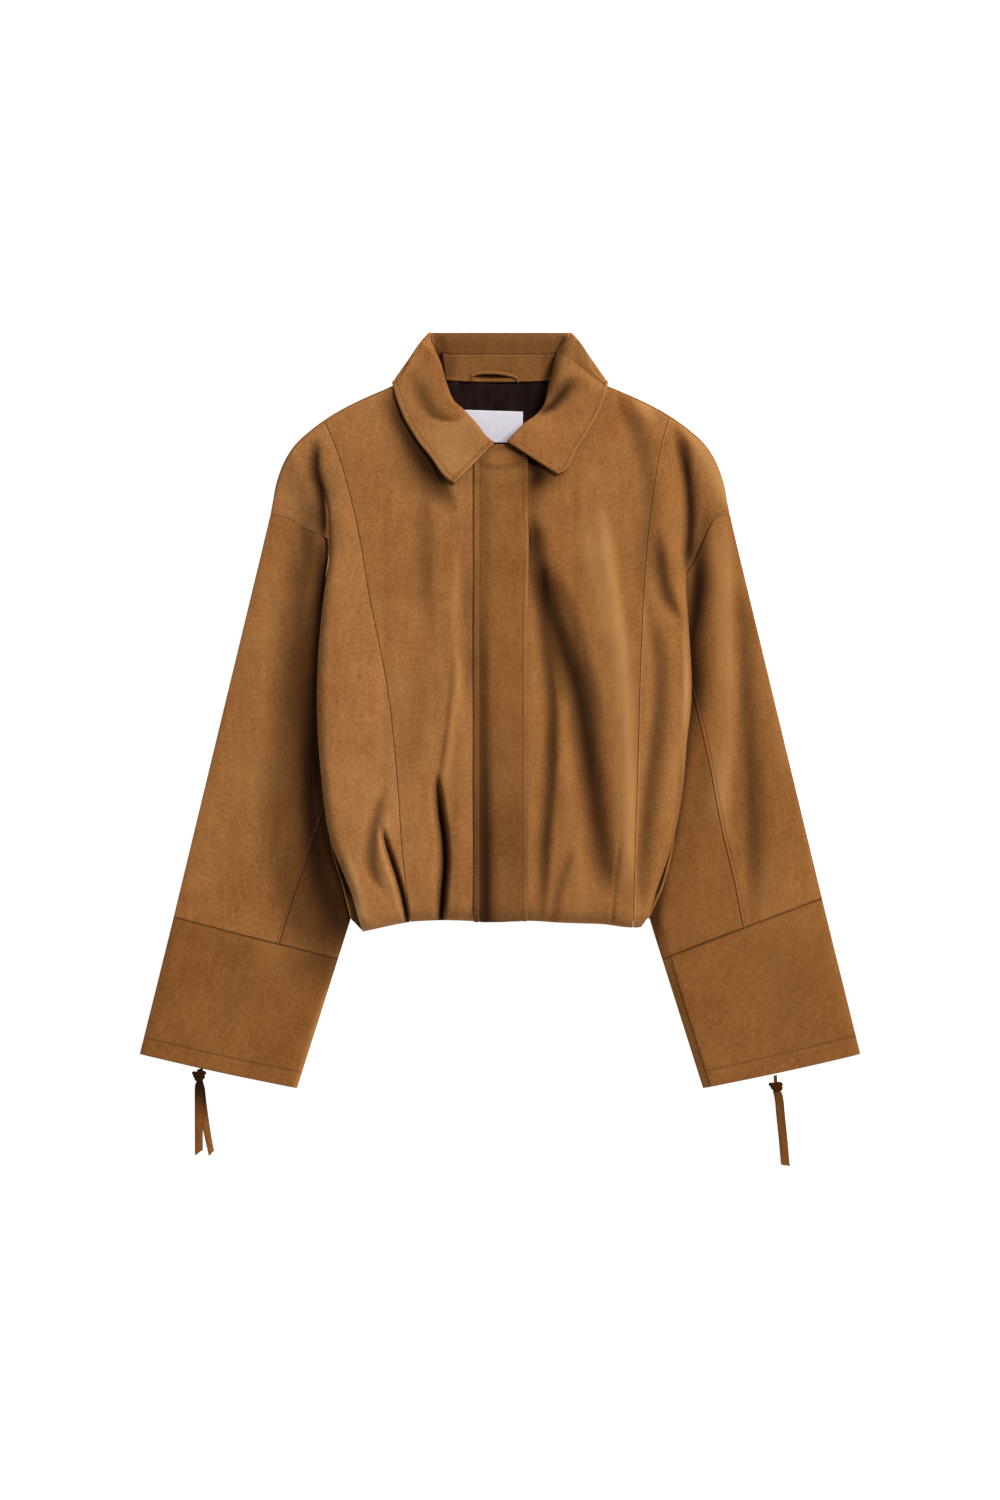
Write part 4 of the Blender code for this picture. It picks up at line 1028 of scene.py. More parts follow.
BODY_FOOT = -222                  # below this a sleeve has no body lying on it
STRIP = 9.3                       # width of the left sleeve's underarm strip, lapped onto its front
LAP, LAP_DROP = 5.0, 2.1          # how far a seam's edge runs on under the other piece, and how low
CAP_RISE, SEWN_UNDER = 46, 0.2    # length of the cap's rise to the armhole, and how far below it ends
LAP_STEP = np.array([-1.5, -1.1, -0.7, -0.3, 0.1, 0.5, 1.0, 1.7, 2.8])
LAPPED = np.concatenate([[0, 2.6], LAP + LAP_STEP])


def lapped(from_it):
    """A seam's edge, stepped down to run on under the piece that it is sewn to."""
    return -LAP_DROP * (1 - roll(from_it - LAP + 1.3, 1.8))


def sleeve_height(x, y):
    """Top of a sleeve: rolled at both edges, and brought up to the front's edge at the armhole."""
    out = np.abs(x)
    edges = roll(sleeve_outer(y) - out, SLEEVE_ROLL) * roll(out - sleeve_inner(y), SLEEVE_ROLL)
    body = by_side(x, RIGHT.edge(y), LEFT.edge(y))
    free = np.where(y < BODY_FOOT, 1.0, ease((out - body - 5) / 24))
    across = (out - sleeve_inner(y)) / np.maximum(sleeve_outer(y) - sleeve_inner(y), 1)
    air = SLEEVE_AIR * np.sin(np.pi * np.clip(across, 0, 1)) ** 1.5 * ease((y + 330) / 110)
    height = EDGE + (SLEEVE_LOFT + (folded(SLEEVE_FOLDS, x, y) + air) * free) * edges
    armhole = armhole_height(x)
    tuck = by_side(x, RIGHT.tuck, LEFT.tuck)
    sewn_on = front_height(x, armhole) - SEWN_UNDER
    raised = ease((y - armhole + CAP_RISE) / CAP_RISE) * ease((out - tuck + 3) / 9)
    return height + np.maximum(sewn_on - height, 0) * raised


def rising(out_at, low, high, sign, shift=0.0):
    """A line that runs up from low to high, as far out as a table gives for each height."""

    def at(t):
        y = low + (high - low) * t
        return np.stack([sign * (out_at(y) + shift), y], axis=-1)

    return at


def outwards(height_at, start, end, sign, shift=0.0):
    """A line that runs outwards from start to end, as high as a table gives for each place."""

    def at(t):
        out = start + (end - start) * t
        return np.stack([sign * out, height_at(out) + shift], axis=-1)

    return at


def facing(side, bottom, top, inner, outer):
    """The pattern of a piece at one side, between lines that run outwards and lines that run up."""
    if side.sign > 0:
        return patch(bottom, top, inner, outer)
    return patch(flip(bottom), flip(top), outer, inner)


def edge_names(side):
    """Names of a piece's inner and outer edges."""
    return ("left", "right") if side.sign > 0 else ("right", "left")


def ends(side, inner, outer):
    """What is said of a piece's inner and outer edges, as said of its left and right ones."""
    return dict(zip(edge_names(side), (inner, outer)))


SLEEVE_TONES = {"right": (0.89, 0.82), "left": (0.82, 0.70)}
SLEEVE_STITCH = 3.2               # from the front seam to its row of stitches
CUFF_STITCH = 1.5                 # from the cuff's seam to its row, up the sleeve
HIGHEST, LOWEST = np.inf, -np.inf               # a table answers these with its end rows


def strip_shade(from_it):
    """Painted shade on the strip along the left underarm, which lies a little lower than the cloth it
    is lapped onto, deepest at its lapped edge.
    """
    return both(0.26 * (from_it < STRIP), 0.6 * bell(from_it, STRIP, 0.9))


for side, word in SIDES:
    armhole_at, underarm = smooth(side.armhole), side.armhole[-1]
    seam_foot, seam_top = (float(side.sleeve_seam(end)) for end in (LOWEST, HIGHEST))
    seam_low, seam_high = float(side.cuff_seam(seam_foot)), float(armhole_at(seam_top))
    inner_low, outer_low = (float(side.cuff_seam(end)) for end in (LOWEST, HIGHEST))
    outer_foot, inner_foot = float(sleeve_outer(outer_low)), float(sleeve_inner(inner_low))
    half = SEAM / 2
    outer = rising(sleeve_outer, outer_low - LAP, SHOULDER_POINT[1] + LAP, side.sign)
    inner = rising(sleeve_inner, inner_low - LAP, underarm[1] + LAP, side.sign)
    seam_inner, seam_outer = (
        rising(side.sleeve_seam, seam_low - LAP, seam_high + LAP, side.sign, shift)
        for shift in (-half, half)
    )
    upper = facing(
        side, outwards(side.cuff_seam, seam_foot, outer_foot, side.sign, -LAP),
        outwards(armhole_at, seam_top, SHOULDER_POINT[0], side.sign, LAP), seam_outer, outer,
    )
    front = facing(
        side, outwards(side.cuff_seam, inner_foot, seam_foot, side.sign, -LAP),
        outwards(armhole_at, underarm[0], seam_top, side.sign, LAP), inner, seam_inner,
    )
    back_top = BACK_PAST - SEAM                     # it ends against the edge of the jacket's back
    back_outer = rising(sleeve_outer, outer_low + half, SHOULDER_POINT[1] + back_top, side.sign)
    back_inner = rising(sleeve_inner, inner_low + half, underarm[1] + back_top, side.sign)
    whole = facing(
        side, outwards(side.cuff_seam, inner_foot, outer_foot, side.sign, half),
        outwards(armhole_at, underarm[0], SHOULDER_POINT[0], side.sign, back_top),
        back_inner, back_outer,
    )
    inner_edge, outer_edge = edge_names(side)
    stitched_seam = lambda d: topstitched(d, SLEEVE_STITCH, 0.6)
    plain_seam = lambda d: turned(d, 0.7)

    for part, tone, seed, pattern, columns, seam_edge, seam_shape in (
        ("upper", SLEEVE_TONES[word][0], 1.3, upper, (STITCHED, SEWN), inner_edge, stitched_seam),
        ("front", SLEEVE_TONES[word][1], 2.1, front, (SEWN, SEWN), outer_edge, plain_seam),
    ):
        x, y = cut_grid(pattern, 3.0, bottom=LAPPED, top=LAPPED, **ends(side, *columns))
        points = on(sleeve_height, x, y)
        points = pressed(points, bottom=lapped, top=lapped, **{seam_edge: seam_shape})
        from_cuff, from_armhole = (from_edge(points, edge) - LAP for edge in ("bottom", "top"))
        # Painted shade along the seams, at the cuff, at the armhole and on the left underarm strip
        shade_at_seams = both(painted_seam_shade(points, seam_edge), 0.6 * bell(from_cuff, 0.6, 1.1))
        if part == "upper":
            shade_at_seams = both(shade_at_seams, 0.5 * bell(from_armhole, 0.4, 1.3))
        elif side is LEFT:
            shade_at_seams = both(shade_at_seams, strip_shade(from_edge(points, "left")))
        piece = cloth(
            "sleeve_%s_suede_%s" % (part, word), points, SUEDE,
            suede("suede_sleeve_%s_%s" % (part, word), tone, seed),
            painted_shading=both(painted_fold_shading(SLEEVE_FOLDS, x, y), shade_at_seams),
        )
        sewn(piece, points, ["sleeve_%s_%s" % (part, word)], ["sleeve_back_suede_" + word])
        if part == "upper":
            places, ups = beside_edge(points, inner_edge, SLEEVE_STITCH)
            stitches("sleeve_seam_thread_" + word, places, ups, thread_dark, pitch=2.7, length=1.7)
        places, ups = beside_edge(points, "bottom", LAP + CUFF_STITCH)
        row_name = "cuff_seam_thread_%s_%s" % (part, word)
        stitches(row_name, places, ups, thread_deep, pitch=2.6, length=1.5)

    x, y = cut_grid(whole, 6.0)
    points = np.stack([x, y, 0 * x], axis=-1)
    piece = cloth(
        "sleeve_back_suede_" + word, points, SUEDE, suede("suede_sleeve_back_" + word, 0.8, 4.4),
        underside=True,
    )
    sewn(piece, points, ["sleeve_back_" + word], ["table"])


# ---------------------------------------------------------------- cuffs
# A deep plain cuff, a tube of suede with its nap brushed the other way. It is sewn to the sleeve,
# turned up at the mouth and topstitched, and its lace comes out between the two layers.
CUFF_TONES = {"right": 0.68, "left": 0.70}
CUFF_REACH, CUFF_ACROSS = 126.0, 160.0          # from its mouth to its seam, and laid flat
CUFF_MOUTH = [(202.8, -378.0), (258.5, -366.7), (308.5, -355.9), (360.2, -343.8)]
CUFF_PUFF, CUFF_BACK_ROLL = 1.6, 2.0
HEM_STITCH = 15.0                 # from the mouth to the row that holds the turn-up
HEM_SUNK = 0.45                   # how far that row sinks into the cloth
STRIP_STITCH = STRIP + 0.4
HEM_FINE = np.array([-1.6, -1.1, -0.7, -0.35, 0, 0.35, 0.7, 1.1, 1.6])
# Troughs and ridges across the cuffs; the troughs carry a little painted shade
CUFF_FOLDS = (
    Fold(((-205, -252, 0), (-240, -258, 1), (-300, -270, 1), (-350, -277, 0)), -0.9, 16, 16, 0.08),
    Fold(((-215, -298, 0), (-250, -306, 1), (-310, -318, 1), (-345, -324, 0)), 0.9, 18, 18, 0.0),
    Fold(((-205, 262, 0), (-240, 268, 1), (-300, 277, 1), (-350, 281, 0)), -0.9, 16, 16, 0.08),
    Fold(((-195, 298, 0), (-240, 308, 1), (-310, 320, 1), (-345, 325, 0)), 0.9, 18, 18, 0.0),
)


def ease_in(t):
    """From 0 to 1, with points closer together at both ends."""
    return 0.5 - 0.5 * np.cos(np.pi * np.clip(t, 0, 1))


def overhead(places):
    """Ways up for a row of stitches that lies flat."""
    return np.tile([0.0, 0, 1], (len(places), 1))


def cuff_face(side, inner_top, outer_top, u, v):
    """A flattened tube: u runs round it, over the top first, and v from its mouth to its seam."""
    mouth = line(CUFF_MOUTH)
    seam = line([inner_top, (240, float(side.cuff_seam(240))), outer_top])
    over = np.where(u <= 0.5, ease_in(2 * u), ease_in(2 - 2 * u))
    low, high = mouth(over), seam(over) - (0, SEAM / 2)
    place = low + (high - low) * v[..., None]
    across = np.linalg.norm(mouth(np.array(1.0)) - mouth(np.array(0.0)))
    edge_near = np.minimum(over, 1 - over) * across
    rise = roll(edge_near, SLEEVE_ROLL)
    puffed = folded(CUFF_FOLDS, side.sign * place[..., 0], place[..., 1])
    puffed += CUFF_PUFF * np.sin(np.pi * over) * ease(v / 0.7) * ease((1.15 - v) / 0.6)
    top = EDGE / 2 + (EDGE / 2 + SLEEVE_LOFT + puffed) * rise
    at_seam = sleeve_height(side.sign * seam(over)[..., 0], seam(over)[..., 1])
    top = top + (at_seam - top) * ease((v - 0.7) / 0.3)
    bottom = EDGE / 2 * (1 - roll(edge_near, CUFF_BACK_ROLL))
    z = np.where(u <= 0.5, top, bottom)
    return np.stack([side.sign * place[..., 0], place[..., 1], z], axis=-1)


for side, word in SIDES:
    inner_low, outer_low = (float(side.cuff_seam(end)) for end in (LOWEST, HIGHEST))
    tops = (float(sleeve_inner(inner_low)), inner_low), (float(sleeve_outer(outer_low)), outer_low)
    up = np.concatenate([
        SEWN, np.linspace(4, HEM_STITCH - 2.2, 5), HEM_STITCH + HEM_FINE,
        np.linspace(HEM_STITCH + 3, CUFF_REACH - 4, 40), CUFF_REACH - SEWN[::-1],
    ]) / CUFF_REACH
    u, v = np.meshgrid(np.linspace(0, 1, 121), up)
    points = cuff_face(side, *tops, u, v)
    from_mouth, from_seam = v * CUFF_REACH, (1 - v) * CUFF_REACH
    sunk = turned(from_mouth, 0.7) + turned(from_seam, 0.6)
    sunk -= 0.5 * bell(from_mouth, HEM_STITCH, 0.8)
    points[..., 2] += np.where(u <= 0.5, sunk, 0) * ease(np.minimum(u, 0.5 - u) * 12)
    finish = suede("suede_cuff_" + word, CUFF_TONES[word], 6.6, nap_turn=0.4)
    # Painted shade in the troughs, at the seam and the row of stitches, and in the right cuff's inner
    # corner; a painted highlight along the inner edge over the top
    painted_shading = painted_fold_shading(CUFF_FOLDS, points[..., 0], points[..., 1])
    painted_shading = both(painted_shading, 0.75 * bell(from_seam, 0, 0.9))
    painted_shading = both(painted_shading, 0.22 * bell(from_mouth, HEM_STITCH, 0.8))
    from_inner, over_top = ease_in(2 * u) * CUFF_ACROSS, u < 0.5
    painted_shading = painted_shading - 0.45 * bell(from_inner, 0, 3.5) * over_top
    if side is RIGHT:
        in_shade = 0.62 * ease((66 - from_inner) / 60) * ease((v - 0.62) / 0.36)
        painted_shading = both(painted_shading, in_shade * over_top)
    else:
        painted_shading = both(painted_shading, strip_shade(from_edge(points, "left")))
    piece = cloth("cuff_suede_" + word, points, SUEDE, finish, side is RIGHT, painted_shading)
    bpy.ops.object.mode_set(mode="EDIT")
    bpy.ops.mesh.select_all(action="SELECT")
    bpy.ops.mesh.remove_doubles(threshold=1e-6)
    bpy.ops.object.mode_set(mode="OBJECT")
    sewn(piece, points, ["cuff_" + word], ["table"])
    row_ = np.linspace(0.06, 0.44, 90)
    places = cuff_face(side, *tops, row_, 0 * row_ + HEM_STITCH / CUFF_REACH) - (0, 0, HEM_SUNK)
    stitches("cuff_hem_thread_" + word, places, overhead(places), thread_dark)
    if side is LEFT:
        faces = points[:, :60].transpose(0, 2, 1)                # rows of x, y and z over the top
        places = np.array([
            [np.interp(STRIP_STITCH, away[:60], values) for values in face]
            for away, face in zip(from_edge(points, "left"), faces)
        ])
        stitches("cuff_strip_thread", places, overhead(places), thread_deep)


# ---------------------------------------------------------------- fronts
# Centre front and side front are joined by the princess seam, pressed open and not topstitched.
# The centre front runs on under the placket, and the side front is sewn to the sleeve's cap.
FRONT_TONES = {"right": (0.985, 1.10), "left": (0.89, 0.94)}
FRONT_TOP, UNDER_PLACKET = 263, 12              # the neck's low end, and how far in under the fly
SEAM_FOOT, SEAM_HEAD = -215, 295                # heights that the princess seam runs between
CORNER_IN = {"right": 2.5, "left": 6.0}         # how far the hem's corner is in from the side
ARMHOLE_STITCH = 3.2


def along_hem(sign, inner, outer):
    """A line along the hem."""

    def at(t):
        x = sign * (inner + (outer - inner) * t)
        return np.stack([x, hem(x)], axis=-1)

    return at


for side, word in SIDES:
    sign = side.sign
    inner_edge, outer_edge = edge_names(side)
    seam_shape = lambda d: turned(d, 0.6)
    princess_top = float(side.princess(SEAM_HEAD))
    seam_top = (princess_top, float(smooth(SHOULDER_LINE[:8])(princess_top)))
    shoulder = [p for p in SHOULDER_LINE if p[0] < princess_top - 4][1:]
    tuck = abs(side.placket) - UNDER_PLACKET
    neckline = [NECK_POINT, (65, 326), (55, 305), (42, 286), (27, 270), (tuck, FRONT_TOP)]
    hem_seam = float(side.princess(SEAM_FOOT))
    hem_at = float(hem(sign * hem_seam))
    seam_inner, seam_outer = (
        rising(side.princess, hem_at, seam_top[1], sign, shift)
        for shift in (-0.4 * SEAM, 0.4 * SEAM)
    )
    inner = line(mirrored([(tuck, hem(sign * tuck)), (tuck, 100), (tuck, FRONT_TOP)], sign))
    top = line(mirrored(neckline[::-1] + shoulder + [seam_top], sign))
    centre = facing(side, along_hem(sign, tuck, hem_seam), top, inner, seam_inner)
    x, y = cut_grid(centre, 2.4, bottom=SEWN, top=PLAIN, **ends(side, PLAIN, SEWN))
    points = pressed(on(front_height, x, y), **{outer_edge: seam_shape})
    # Painted shade in the folds and along the princess seam, and painted highlight on the ridges
    piece = cloth(
        "front_centre_suede_" + word, points, SUEDE,
        suede("suede_front_centre_" + word, FRONT_TONES[word][0], 0.7),
        painted_shading=both(painted_fold_shading(BODY_FOLDS, x, y), painted_seam_shade(points, outer_edge)),
    )
    sewn(piece, points, ["front_centre_" + word], ["back_suede"])

    outer_shoulder = [p for p in SHOULDER_LINE if p[0] > princess_top + 4]
    armhole = armhole_points(side)
    levels = np.linspace(armhole[-1][1] - BELOW_ARMHOLE, float(hem(sign * 140)) + 9, 14)
    down = [(float(side.edge(y_)), float(y_)) for y_ in levels]
    corner_x = down[-1][0] - CORNER_IN[word]
    corner = (corner_x, float(hem(sign * corner_x)) + 0.5)
    outer = flip(line(mirrored(armhole + down + [corner], sign)))
    top = line(mirrored([seam_top] + outer_shoulder, sign))
    middle = (hem_seam + corner[0]) / 2
    foot = line(mirrored([(hem_seam, hem_at), (middle, hem(sign * middle)), corner], sign))
    side_front = facing(side, foot, top, seam_outer, outer)
    x, y = cut_grid(side_front, 2.4, bottom=SEWN, top=PLAIN, **ends(side, SEWN, SEWN))
    points = pressed(on(front_height, x, y), **{inner_edge: seam_shape})
    # Painted shade in the folds and along the princess seam, and painted highlight on the ridges and
    # edges
    shade = both(painted_fold_shading(BODY_FOLDS, x, y), painted_seam_shade(points, inner_edge))
    if side is RIGHT:                           # light on the turn of the cloth at its side
        shade = shade - 0.6 * bell(from_edge(points, outer_edge), 0, 4.5) * ease((172 - y) / 20)
    else:                                       # light on the edge that is pressed open
        shade = shade - 0.3 * bell(from_edge(points, inner_edge), 0.8, 1.0)
    piece = cloth(
        "front_side_suede_" + word, points, SUEDE,
        suede("suede_front_side_" + word, FRONT_TONES[word][1], 3.9), painted_shading=shade,
    )
    rests_on = ["back_suede", "sleeve_upper_suede_" + word]
    sewn(piece, points, ["front_side_" + word], rests_on)

    out = np.linspace(SHOULDER_POINT[0] - 3, side.tuck, 70)
    places = on(front_height, sign * out, smooth(side.armhole)(out) + ARMHOLE_STITCH)
    row_name = "armhole_thread_" + word
    stitches(row_name, places, overhead(places), thread_dark, pitch=2.4, length=1.5)


# ---------------------------------------------------------------- placket
# The fly band down the centre front covers the closure. It is a doubled strip of suede with its
# nap brushed down, turned under at both edges and topstitched 6 mm from each. Its foot is turned
# straight down, between the two fronts, onto the back.
PLACKET_RIGHT, PLACKET_LEFT, PLACKET_TOP = RIGHT.placket, LEFT.placket, 263.0
PLACKET_LIFT = SUEDE + SEAM + 0.5               # its top above the top of the fronts
PLACKET_SHORT = 1.5               # its foot above the hem
PLACKET_STITCH = 6.0
FOOT_DROP, FOOT_BEND = 10.5, 1.3  # how far down its foot goes, and how sharply it bends
FOOT_HALF, FOOT_EASE = 14.6, 2.4  # half the width that goes down, and how soon all of it does
BAND_IN, BAND_HALF = 10.5, 6.2    # a dark band in from the right edge, deeper and wider lower down
PLACKET_FINE = np.concatenate([
    SEWN[:-1], [3.1, 4.0, 4.6], PLACKET_STITCH + np.array([-1, -.6, -.25, .1, .45, .8, 1.2, 2])
])


def placket_edge(x):
    """A long edge of the placket."""
    return line([(x, hem(x) + PLACKET_SHORT), (x, 0), (x, PLACKET_TOP)])


def placket_foot(t):
    x = PLACKET_RIGHT + (PLACKET_LEFT - PLACKET_RIGHT) * t
    return np.stack([x, hem(x) + PLACKET_SHORT], axis=-1)


placket_top = line([(PLACKET_RIGHT, PLACKET_TOP), (0, PLACKET_TOP + 1), (PLACKET_LEFT, PLACKET_TOP)])
placket = patch(placket_foot, placket_top, placket_edge(PLACKET_RIGHT), placket_edge(PLACKET_LEFT))
x, y = cut_grid(placket, 2.4, left=PLACKET_FINE, right=PLACKET_FINE, bottom=SEWN, top=SEWN)
wave = 0.5 * np.sin(0.045 * y + 0.05 * x) + 0.35 * np.sin(0.021 * y + 1)
points = on(front_height, x, y, PLACKET_LIFT + wave * 0.4)
long_edge, foot_edge = lambda d: topstitched(d, PLACKET_STITCH), lambda d: turned(d, 0.6)
points = pressed(points, left=long_edge, right=long_edge, top=turned, bottom=foot_edge)
shade = 0.04 + 0.34 * ease((60 - y) / 230) * (0.75 + 0.25 * np.cos(0.05 * y))
lower = ease((50 - y) / 240)
band_at = x - PLACKET_RIGHT - BAND_IN - 2.5 * lower
band_at = band_at / ((BAND_HALF + 1.8 * lower) * np.where(band_at < 0, 1.5, 1))
band_dark = 0.28 + 0.36 * ease((130 - y) / 100) + 0.28 * lower
shade = both(shade, band_dark * bell(band_at, 0, 1))
shade = both(shade, 0.9 * painted_fold_shading(BODY_FOLDS[-4:-1], x, y))       # the collar's wings shade it
# Painted shade of soft wrinkles under the collar, which have no relief of their own
ripple = ease((np.sin(0.32 * (y - 0.012 * x**2)) - 0.1) / 0.9)
shade = both(shade, 0.25 * ripple * ease((y - 215) / 22))
# Painted shade in each row of stitches, and a painted highlight on the cloth that puffs up between it
# and the edge
for edge in ("left", "right"):
    from_it = from_edge(points, edge)
    shade = both(shade, 0.12 * bell(from_it, PLACKET_STITCH, 0.8)) - 0.14 * bell(from_it, 3, 1.6)
from_middle = np.abs(x - 0.5 * (PLACKET_RIGHT + PLACKET_LEFT))
bent = bell(from_edge(points, "bottom"), 0, FOOT_BEND) * ease((FOOT_HALF - from_middle) / FOOT_EASE)
points[..., 2] -= FOOT_DROP * bent
piece = cloth("placket_suede", points, SUEDE, suede("suede_placket", 0.80, 7.7), painted_shading=shade)
both_fronts = ["front_centre_suede_right", "front_centre_suede_left"]
sewn(piece, points, ["placket"], both_fronts)
for edge in ("left", "right"):
    places, ups = beside_edge(points, edge, PLACKET_STITCH)
    stitches("placket_thread_" + edge, places, ups, pitch=2.9, length=1.7)


# ---------------------------------------------------------------- collar
# A wide collar of doubled suede, folded over along its roll line. Its points lie on the fronts
# and its back lies folded under the back of the jacket. All its free edges are topstitched.
Station = namedtuple("Station", "seam roll crest edge")
# Of each station of a wing: the roll line across and up, then the free edge across and up.
WING_RIGHT = (
    (5, 265, 45.5, 224.5), (13, 271.5, 54.5, 230.5), (22, 283, 69.3, 251), (36, 298.5, 83.3, 269),
    (46, 308, 95.2, 289), (52.5, 323.5, 102.3, 306.5), (58.0, 343, 105.5, 317),
)
WING_LEFT = (
    (6.5, 266.3, 57.5, 233.5), (14.5, 275.2, 66.5, 238.5), (24, 285, 76, 257), (35, 293, 87, 275),
    (43.5, 303.5, 97, 292.5), (48, 323.5, 103.5, 308), (53.5, 345, 106.5, 317.5),
)
BACK_ROLL_Y, BACK_SEAM_Y, BACK_EDGE_Y = 376.5, 354.6, 309.0
COLLAR_TOP, ROLL_RISE = 10.0, 4.4
COLLAR_LIFT = COLLAR_WALL + SEAM + 0.3
COLLAR_STITCH = 5.0
WING_AIR = 2.2                    # how much further a collar point stands off than it must
LEFT_CORNER_IN = 7.5              # the roll turns back closer to the middle on the left
COLLAR_RUN, FALL_RUN = 700.0, 58.0              # length of its free edge, and of the fall


def fall_height(x, y):
    over_placket = PLACKET_LIFT * ease((36 - abs(x)) / 8)
    return float(front_height(np.array(float(x)), np.array(float(y)))) + COLLAR_LIFT + over_placket


def wing(row, sign):
    roll_x, roll_y, edge_x, edge_y = row
    away = np.array([edge_x - roll_x, edge_y - roll_y], float)
    away /= np.linalg.norm(away)
    top = fall_height(sign * roll_x, roll_y) + ROLL_RISE
    bottom = top - ROLL_RISE - COLLAR_LIFT + 0.6

    def beside(steps, z):
        return (sign * (roll_x + away[0] * steps), roll_y + away[1] * steps, z)

    return Station(
        seam=beside(9, bottom), roll=beside(0, (top + bottom) / 2), crest=beside(3.2, top),
        edge=(sign * edge_x, edge_y, fall_height(sign * edge_x, edge_y) + WING_AIR),
    )


def corner_stations(sign, inwards):
    """The collar's turn from the front of the neck to its back."""
    first = ((62, 351.5, 8.4), (64.5, 359, 10.5), (69, 359, 14.6))
    rows_ = (
        (*((x - inwards, y, z) for x, y, z in first), (107.6, 323.4, 9.3)),
        ((61, 355, 9.2), (70.5, 376.3, 7.6), (77.0, 370.4, 9.2), (108.6, 326.0, 4.9)),
        ((59, 356, 9.8), (67, 376.5, 5.2), (69.5, 374.6, 0.9), (108.0, 325.0, 0.1)),
        ((55, 356, 9.9), (60, 376.5, 5.0), (62, 374.0, 0.6), (101, 314.5, 0.0)),
    )
    return [Station(*((sign * x, y, z) for x, y, z in row)) for row in rows_]


def back_station(x):
    return Station(
        seam=(x, BACK_SEAM_Y, COLLAR_TOP), roll=(x, BACK_ROLL_Y, COLLAR_TOP / 2),
        crest=(x, BACK_ROLL_Y - 2.5, 0.6), edge=(x * 1.5, BACK_EDGE_Y, 0.0),
    )


stations = (
    [wing(row, -1) for row in WING_RIGHT] + corner_stations(-1, 0.0)
    + [back_station(x) for x in (-45, -20, 20, 45)]
    + corner_stations(1, LEFT_CORNER_IN)[::-1] + [wing(row, 1) for row in WING_LEFT[::-1]]
)
flat = np.array([[*s.seam, *s.roll, *s.crest, *s.edge] for s in stations])
marks = np.concatenate([[0], np.cumsum(np.linalg.norm(np.diff(flat, axis=0), axis=1))])
along_collar = smooth([(mark, *row) for mark, row in zip(marks / marks[-1], flat)])
share_u = ladder(COLLAR_RUN, STITCHED, STITCHED, 2.4)[0]
fall_v = ladder(FALL_RUN, PLAIN, STITCHED, 2.2)[0]
share_v = np.concatenate([np.linspace(0, 0.5, 26)[:-1], 0.5 + 0.5 * fall_v])
seam_, roll_, crest_, edge_ = np.split(along_collar(share_u), 4, axis=-1)
near_ = 0.3 * seam_ + 0.7 * roll_               # flat from the seam, before it turns up to the roll
near_[:, 2] = seam_[:, 2]
section = {0: seam_, 0.18: near_, 0.34: roll_, 0.5: crest_, 0.75: (crest_ + edge_) / 2, 1: edge_}
points = smooth([(mark, *place_.ravel()) for mark, place_ in section.items()])(share_v)
points = points.reshape(len(share_v), len(share_u), 3)
x, y, z = np.moveaxis(points, -1, 0)
v = np.repeat(share_v[:, None], len(share_u), axis=1)
on_front = (z > COLLAR_TOP) & (v > 0.5)
least = front_height(x, y) + COLLAR_LIFT
points[..., 2] = np.maximum(np.where(on_front, np.maximum(z, least), z), 0)
COLLAR_FOLDS = (
    # Hollow of the right wing
    Fold(((338, -90, 0), (324, -84.5, 0.7), (309.5, -77.5, 0.9), (297, -70, 1), (289, -59, 1),
        (284.5, -46, 0)), -2.6, 9, 11, 0.55),
    # Shade inside the right roll
    Fold(((384.5, -60.5, 0.6), (364.5, -57, 0.9), (337.5, -53.5, 1), (321.5, -49.5, 0.6),
        (307.5, -43.5, 0)), -0.8, 5, 5, 0.42),
    # Light band on the right wing
    Fold(((297.5, -25.5, 0), (285.5, -35.5, 1), (275.5, -47.5, 0.8), (263.5, -61.5, 0)),
        1.2, 9, 9, -0.1),
    # Shade inside the left roll
    Fold(((378.5, 66.5, 0.5), (368.5, 62.5, 0.8), (352.5, 57, 0.9), (338.5, 52, 1),
        (327.5, 49.5, 0.95), (315.5, 47.5, 0.8), (305.5, 45.5, 0)), -0.8, 3.2, 9, 0.84),
    # Hollow of the left wing
    Fold(((334, 72, 0), (323, 67, 0.8), (313.5, 61.5, 1), (305, 54.5, 1), (298, 47.5, 0.9),
        (291, 41, 0)), -2.8, 9.5, 9, 0.9),
    # Light on the right point
    Fold(((292, -50, 0), (276, -50, 1), (255, -50, 1), (240, -45, 0.8), (228, -43, 0)),
        0, 28, 30, -0.26),
    # Painted shade over the left wing
    Fold(((368, 74, 0.6), (345, 78, 1), (310, 80, 0.9), (280, 68, 0.4), (255, 60, 0.2),
        (236, 58, 0)), 0, 34, 34, 0.15),
    # Light ridge on the left wing
    Fold(((366.5, 78.5, 0), (347.5, 84.5, 1), (327.5, 90.5, 0.7), (309.5, 88.5, 0)),
        1.2, 8, 8, -0.08),
)
points[..., 2] += folded(COLLAR_FOLDS, x, y) * ease((v - 0.5) / 0.12) * (z > COLLAR_TOP)
free_edge = lambda d: topstitched(d, COLLAR_STITCH, 1.7, 2.8)
points = pressed(points, top=free_edge, left=free_edge, right=free_edge)
